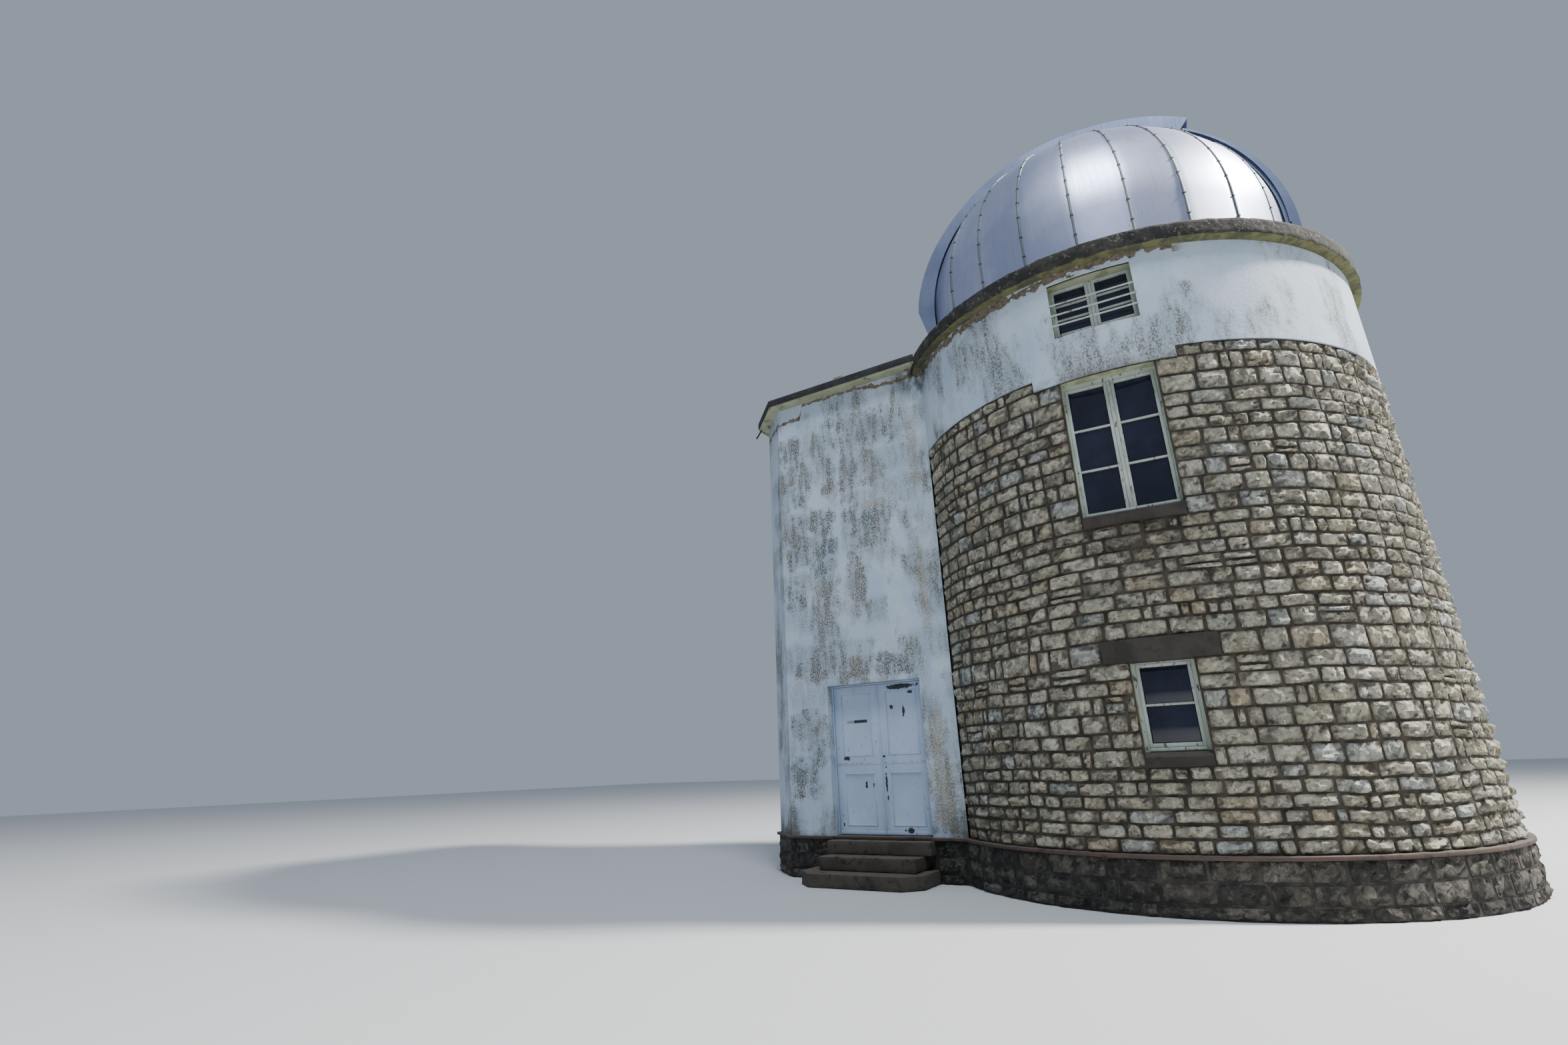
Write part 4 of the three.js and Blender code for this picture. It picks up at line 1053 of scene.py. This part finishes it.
DOOR_CHIPS = [
    (-3.570, 2.685, 0.270, 0.046), (-3.420, 2.593, 0.046, 0.027), (-3.742, 2.391, 0.035, 0.041),
    (-3.548, 2.325, 0.024, 0.084), (-3.554, 2.254, 0.018, 0.022), (-4.537, 1.667, 0.062, 0.035),
    (-4.241, 1.278, 0.024, 0.062), (-4.117, 1.276, 0.014, 0.043), (-3.900, 1.315, 0.019, 0.149),
    (-3.893, 1.090, 0.014, 0.041), (-4.648, 0.724, 0.015, 0.038), (-3.568, 0.651, 0.057, 0.046),
    (-3.655, 0.652, 0.019, 0.016), (-3.293, 2.696, 0.016, 0.019), (-3.893, 1.528, 0.016, 0.019)]
chip_tree = placed_mark("paint_chip", 2.0, 3.4, 0.66, 0.72, 30.0, 7.0, 0.7)

door_paint, door_tree, door_sockets = new_finish("door_chipped_paint", 0.5)
door_colour = blend(
    door_tree, patches(door_tree, 1.4, 0.35, 0.65), (0.375, 0.475, 0.64, 1), (0.44, 0.545, 0.69, 1))
door_specks = patches(door_tree, 30.0, 0.64, 0.68, stretch=0.4)
door_colour = coat(door_tree, door_colour, door_specks, 0.7, (0.20, 0.13, 0.07, 1))
door_level = split_xyz(door_tree, here_on(door_tree))[2]
seam_rust = arith(door_tree, "ABSOLUTE", minus(door_tree, door_level, SEAM_UP[1] + 0.005))
seam_rust = times(
    door_tree, wane(door_tree, seam_rust, 0.006, 0.016), patches(door_tree, 14.0, 0.46, 0.56, shift=21.0))
door_colour = coat(door_tree, door_colour, seam_rust, 0.8, (0.34, 0.265, 0.130, 1))
door_bare = gather(door_tree, chip_tree, DOOR_CHIPS)
door_colour = blend(door_tree, door_bare, door_colour, (0.022, 0.021, 0.022, 1))
door_tree.links.new(door_colour, door_sockets["Base Color"])
emboss(door_tree, door_sockets, minus(door_tree, grain(door_tree, 40.0, 0.1), door_bare), 0.0015)

for name, (body, x0, x1) in DOOR_LEAVES.items():
    leaf = wear(name, 0.003)
    a, b = x0 + PANEL_MARGIN, x1 - PANEL_MARGIN
    for z0, z1 in DOOR_PANELS:
        for across, up in (
                ((a, a + BEAD), (z0, z1)), ((b - BEAD, b), (z0, z1)),
                ((a, b), (z1 - BEAD, z1)), ((a, b), (z0, z0 + BEAD))):
            add_bar(leaf, across, up, BEAD_OUT, upright, 0.006)
    add_bar(leaf, (x0 + LEAF_EDGE, x1 - LEAF_EDGE), SEAM_UP, SEAM_OUT, upright, 0.003)
    add_bar(leaf, (x0 + LEAF_EDGE, x1 - LEAF_EDGE), FOOT_RAIL_UP, RAIL_OUT, upright, 0.004)
    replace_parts(make_piece(leaf, name + "_painted", door_paint, body), name)
meeting_strip = bmesh.new()
add_bar(meeting_strip, *MEETING_STRIP, upright, 0.004)
make_piece(meeting_strip, "door_meeting_strip", door_paint, "left_door")
door_frame = wear("door_frame", 0.004)
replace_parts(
    make_piece(door_frame, "door_frame_painted", door_paint, "building"), "door_frame")

# Door plate and knob: two bare enamelled plates side by side on the left leaf, and a small turned
# knob on the right one.
PLATE_UP, PLATE_OUT = (2.188, 2.230), (-1.7075, -1.7035)
KNOB_PLACE = (-3.909, -1.7155, 1.680)
KNOB_SECTION = [
    (0.0, 0.0), (0.016, 0.0), (0.016, 0.003), (0.007, 0.006), (0.006, 0.016), (0.013, 0.021),
    (0.015, 0.027), (0.011, 0.033), (0.0, 0.035)]
dark_enamel = mineral(
    "door_plate_enamel", (0.020, 0.024, 0.040, 1), (0.030, 0.034, 0.050, 1), (0.10, 0.10, 0.11, 1), 0.66)
pale_enamel = mineral(
    "door_plate_pale", (0.24, 0.33, 0.35, 1), (0.28, 0.37, 0.38, 1), (0.15, 0.18, 0.18, 1), 0.62)
for name, finish, across in (
        ("door_plate_dark", dark_enamel, (-4.381, -4.162)),
        ("door_plate_light", pale_enamel, (-4.503, -4.383))):
    plate = bmesh.new()
    add_bar(plate, across, PLATE_UP, PLATE_OUT, upright, 0.0015)
    make_piece(plate, name, finish, "left_door")
knob = turned_profile(KNOB_SECTION, 24)
knob_turn = Matrix.Translation(KNOB_PLACE) @ Matrix.Rotation(math.radians(90), 4, "X")
bmesh.ops.transform(knob, matrix=knob_turn, verts=knob.verts)
bmesh.ops.recalc_face_normals(knob, faces=knob.faces)
make_piece(knob, "door_knob", dark_enamel, "right_door", 40)

# Dome: curved aluminium gores, a little flatter than a true sphere between the ribs, each with a
# vertical brushed grain. The upright skirt below turns just above the cornice. The slit is left
# open between two cuts, and a low band closes its foot.
DOME_R = 2.870
DOME_Z = 8.834
DOME_FOOT = 7.966
SLIT_REAR = math.radians(5.4)
SLIT_CUT = 1.282
SLIT_FOOT = 8.123
SHEET = 0.02
RIB_FIRST, RIB_STEP = -146.4, 14.63
GORES, STEPS_A_GORE = 13, 6
GORE_FLATNESS = 0.55
SKIRT_LEVELS = (DOME_FOOT, 8.25, 8.54)
RISE_STEPS, RISE_STEP, CROWN = 36, 2.5, 89.9
LOWER_BAND_LEVELS = (DOME_FOOT, 8.04, SLIT_FOOT)
slit_side = Vector((math.sin(SLIT_REAR), -math.cos(SLIT_REAR), 0))

brush_tree, brush_in, brush_out = effect("brushed_grain", {"Fineness": 60.0}, ["Height", "Cloud"])
brush_here = here_on(brush_tree)
brush_where = split_xyz(brush_tree, brush_here)
brush_round = arith(brush_tree, "ARCTAN2", brush_where[1], brush_where[0])
brush_fold = join_xyz(
    brush_tree, times(brush_tree, brush_round, brush_in["Fineness"]), 0.0,
    times(brush_tree, brush_where[2], 0.9))
brush_tree.links.new(cloud(brush_tree, brush_fold, 1.0, 5.0, 0.6), brush_out["Height"])
brush_tree.links.new(cloud(brush_tree, brush_here, 1.3, 4.0), brush_out["Cloud"])


def metal_finish(name, pale, deep, roughness, metallic=0.92):
    """Brushed sheet metal that drifts between two shades, with fine lines and small dull marks."""
    finish, tree, sockets = new_finish(name, roughness, metallic)
    brushed = tree.nodes.new("ShaderNodeGroup")
    brushed.node_tree = brush_tree
    lines, drift = brushed.outputs["Height"], brushed.outputs["Cloud"]
    colour = blend(tree, fade(tree, drift, 0.38, 0.62), deep, pale)
    colour = coat(tree, colour, fade(tree, lines, 0.42, 0.60), 0.22, shaded(deep, 0.78))
    marks = patches(tree, 22.0, 0.66, 0.70, stretch=0.3)
    colour = coat(tree, colour, marks, 0.5, (0.16, 0.16, 0.17, 1))
    tree.links.new(colour, sockets["Base Color"])
    tree.links.new(plus(tree, roughness, times(tree, lines, 0.14)), sockets["Roughness"])
    emboss(tree, sockets, lines, 0.0006, 0.35)
    return finish


# Painted reflection: the gores' blue tint stands for the sky mirrored in the aluminium.
gore_metal_painted_sky = metal_finish("gore_brushed_aluminium", (0.53, 0.56, 0.72, 1), (0.43, 0.465, 0.645, 1), 0.30)


def gore_shell():
    """One side of the dome: gores from the foot to the crown, flattened between ribs."""
    shape = bmesh.new()
    start = math.radians(RIB_FIRST - 2 * RIB_STEP)
    heights = [(DOME_R, z) for z in SKIRT_LEVELS]
    heights += [
        (DOME_R * math.cos(math.radians(e)), DOME_Z + DOME_R * math.sin(math.radians(e)))
        for e in [k * RISE_STEP for k in range(RISE_STEPS)] + [CROWN]]
    points = [shape.verts.new((r * math.cos(start), r * math.sin(start), z)) for r, z in heights]
    edges = [shape.edges.new(pair) for pair in zip(points, points[1:])]
    bmesh.ops.spin(
        shape, geom=points + edges, cent=(0, 0, 0), axis=(0, 0, 1), dvec=(0, 0, 0),
        angle=math.radians(GORES * RIB_STEP), steps=GORES * STEPS_A_GORE)
    half_step = math.radians(RIB_STEP / 2)
    for v in shape.verts:
        turn_by = (math.degrees(math.atan2(v.co.y, v.co.x)) - math.degrees(start)) % 360
        phase = abs((turn_by / RIB_STEP) % 1 - 0.5) * 2
        flat = math.cos(half_step) / math.cos(half_step - (1 - phase) * half_step)
        scale = 1 - GORE_FLATNESS * (1 - flat)
        v.co.x *= scale
        v.co.y *= scale
    return shape


def cut_off(shape, point, normal):
    """Removes what lies on the far side of a plane, along its normal."""
    bmesh.ops.bisect_plane(
        shape, geom=shape.verts[:] + shape.edges[:] + shape.faces[:], dist=1e-6, plane_co=point,
        plane_no=normal, clear_outer=True)


def absorb(target, part):
    """Adds one bmesh to another and frees it."""
    loose = bpy.data.meshes.new("loose")
    part.to_mesh(loose)
    part.free()
    target.from_mesh(loose)
    bpy.data.meshes.remove(loose)


def reflect(shape):
    """Takes a shape to the other side of the slit."""
    bmesh.ops.transform(shape, matrix=mirror_slit, verts=shape.verts)
    bmesh.ops.reverse_faces(shape, faces=shape.faces)


mirror_slit = Matrix.Identity(4)
for row in range(3):
    for column in range(3):
        mirror_slit[row][column] -= 2 * slit_side[row] * slit_side[column]
near_shell = gore_shell()
cut_off(near_shell, slit_side * SLIT_CUT, -slit_side)
both_shells = near_shell.copy()
reflect(both_shells)
absorb(both_shells, near_shell)
lower_band = turned_profile([(DOME_R, z) for z in LOWER_BAND_LEVELS], 144)
cut_off(lower_band, slit_side * SLIT_CUT, slit_side)
cut_off(lower_band, -slit_side * SLIT_CUT, -slit_side)
absorb(both_shells, lower_band)
bmesh.ops.remove_doubles(both_shells, verts=both_shells.verts, dist=1e-5)
both_shells.normal_update()
for face in both_shells.faces:
    outward = face.calc_center_median() - Vector((0, 0, 8.0))
    if face.normal.dot(outward) < 0:
        face.normal_flip()
bmesh.ops.solidify(both_shells, geom=both_shells.faces[:], thickness=SHEET)
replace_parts(make_piece(both_shells, "dome_gores", gore_metal_painted_sky, "dome", 25), "dome_shell")

# Ribs: narrow metal cover strips bent over the joints of the gores, from the skirt up to the slit,
# held down by small dark clips.
RIB_SECTION = [
    (-0.017, -0.004), (-0.014, 0.009), (-0.006, 0.013), (0.006, 0.013), (0.014, 0.009), (0.017, -0.004)]
RIB_LIFT = 0.004
RIBS_A_SIDE = 9
RIB_CUT = 1.386
RIB_BEND, RIB_BEND_STEPS = 89, 44
CLIP_SIZE, CLIP_LIFT, CLIP_ARRIS = (0.044, 0.020, 0.018), 0.008, 0.003
CLIP_FIRST, CLIP_PITCH, CLIP_UNEVEN = 0.18, 0.333, 0.034
CLIPS_A_RIB = 14
CLIP_CLEAR = 1.425
rib_metal = metal_finish("rib_dull_metal", (0.20, 0.23, 0.23, 1), (0.14, 0.165, 0.16, 1), 0.50, 0.55)
clip_metal = metal_finish("clip_dark_metal", (0.10, 0.12, 0.11, 1), (0.06, 0.075, 0.07, 1), 0.55, 0.6)


def rib_strip(out, side):
    """One strip: its section drawn up the skirt, then bent over the dome and cut at the slit."""
    shape = bmesh.new()
    foot = Vector((0, 0, DOME_FOOT + RIB_LIFT))
    ring = [shape.verts.new(out * (DOME_R + r) + side * s + foot) for s, r in RIB_SECTION]
    lifted = bmesh.ops.extrude_face_region(shape, geom=[shape.faces.new(ring)])["geom"]
    top = [g for g in lifted if isinstance(g, bmesh.types.BMFace)]
    lifted_verts = [g for g in lifted if isinstance(g, bmesh.types.BMVert)]
    bmesh.ops.translate(shape, vec=(0, 0, DOME_Z - DOME_FOOT - RIB_LIFT), verts=lifted_verts)
    bmesh.ops.spin(
        shape, geom=top, cent=(0, 0, DOME_Z), axis=-side, dvec=(0, 0, 0), angle=math.radians(RIB_BEND),
        steps=RIB_BEND_STEPS)
    cut_off(shape, slit_side * RIB_CUT, -slit_side)
    bmesh.ops.holes_fill(shape, edges=[e for e in shape.edges if e.is_boundary], sides=0)
    bmesh.ops.remove_doubles(shape, verts=shape.verts, dist=1e-5)
    bmesh.ops.recalc_face_normals(shape, faces=shape.faces)
    return shape


def rib_clips(out, side):
    """The clips along one strip, a little unevenly spaced."""
    clips = bmesh.new()
    skirt = DOME_Z - DOME_FOOT
    for step in range(CLIPS_A_RIB):
        arc = CLIP_FIRST + step * CLIP_PITCH + (CLIP_UNEVEN if step % 3 == 0 else 0)
        if arc < skirt:
            place, normal = out * DOME_R + Vector((0, 0, DOME_FOOT + arc)), out
        else:
            bent = (arc - skirt) / DOME_R
            normal = out * math.cos(bent) + Vector((0, 0, math.sin(bent)))
            place = Vector((0, 0, DOME_Z)) + normal * DOME_R
        if place.dot(slit_side) < CLIP_CLEAR:
            continue
        forward = normal.cross(side).normalized()
        basis = Matrix((side, forward, normal)).transposed().to_4x4()
        made = bmesh.ops.create_cube(clips, size=1)["verts"]
        placed = Matrix.Translation(place + normal * CLIP_LIFT) @ basis @ Matrix.Diagonal((*CLIP_SIZE, 1))
        bmesh.ops.transform(clips, matrix=placed, verts=made)
        bmesh.ops.bevel(
            clips, geom=list({e for v in made for e in v.link_edges}), offset=CLIP_ARRIS,
            offset_type="OFFSET", segments=1, profile=0.5, affect="EDGES", clamp_overlap=True, material=-1)
    return clips


all_ribs = bmesh.new()
all_clips = bmesh.new()
for mirrored in (False, True):
    for i in range(RIBS_A_SIDE):
        azimuth = math.radians(RIB_FIRST + RIB_STEP * i)
        out = Vector((math.cos(azimuth), math.sin(azimuth), 0))
        side = Vector((-math.sin(azimuth), math.cos(azimuth), 0))
        for part, gathered in ((rib_strip(out, side), all_ribs), (rib_clips(out, side), all_clips)):
            if mirrored:
                reflect(part)
            absorb(gathered, part)
make_piece(all_ribs, "dome_ribs", rib_metal, "dome", 40)
make_piece(all_clips, "dome_rib_clips", clip_metal, "dome", 40)

# Slit curbs and rear cover: bent sheet of the same dull aluminium as the shutter, fixed on the dome
# on both sides of the slit and behind it. Its dark slate-blue colour is painted shade.
# Painted shade: the sheet's colour is darkened and blued for the shade on the shutter's side plates.
shutter_metal_painted_shade = metal_finish(
    "shutter_dull_aluminium_painted_shade", (0.19, 0.225, 0.33, 1), (0.15, 0.18, 0.275, 1), 0.42, 0.85)
for node in ("slit_curb_near", "slit_curb_far", "slit_rear_cover"):
    shape = copy_solid(node)
    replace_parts(make_piece(shape, node + "_smooth", shutter_metal_painted_shade, "dome", 25), node)

# Ring and track: painted rolled steel, rusting. The track is a low ring fixed on the cornice, and
# the base ring inside the foot of the dome turns on it.
ring_steel = mineral(
    "ring_painted_steel", (0.17, 0.16, 0.15, 1), (0.12, 0.115, 0.11, 1), (0.13, 0.07, 0.04, 1), 0.62,
    depth=0.001)
finish_solids(ring_steel, "dome_base_ring", "dome_track")

# Shutter: one long curved sheet between two deep side plates, which runs on the curbs up and over
# the dome.
# The shutter's dark slate-blue colour is painted shade.
shutter = copy_solid("shutter")
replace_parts(make_piece(shutter, "shutter_smooth", shutter_metal_painted_shade, "shutter", 12), "shutter")
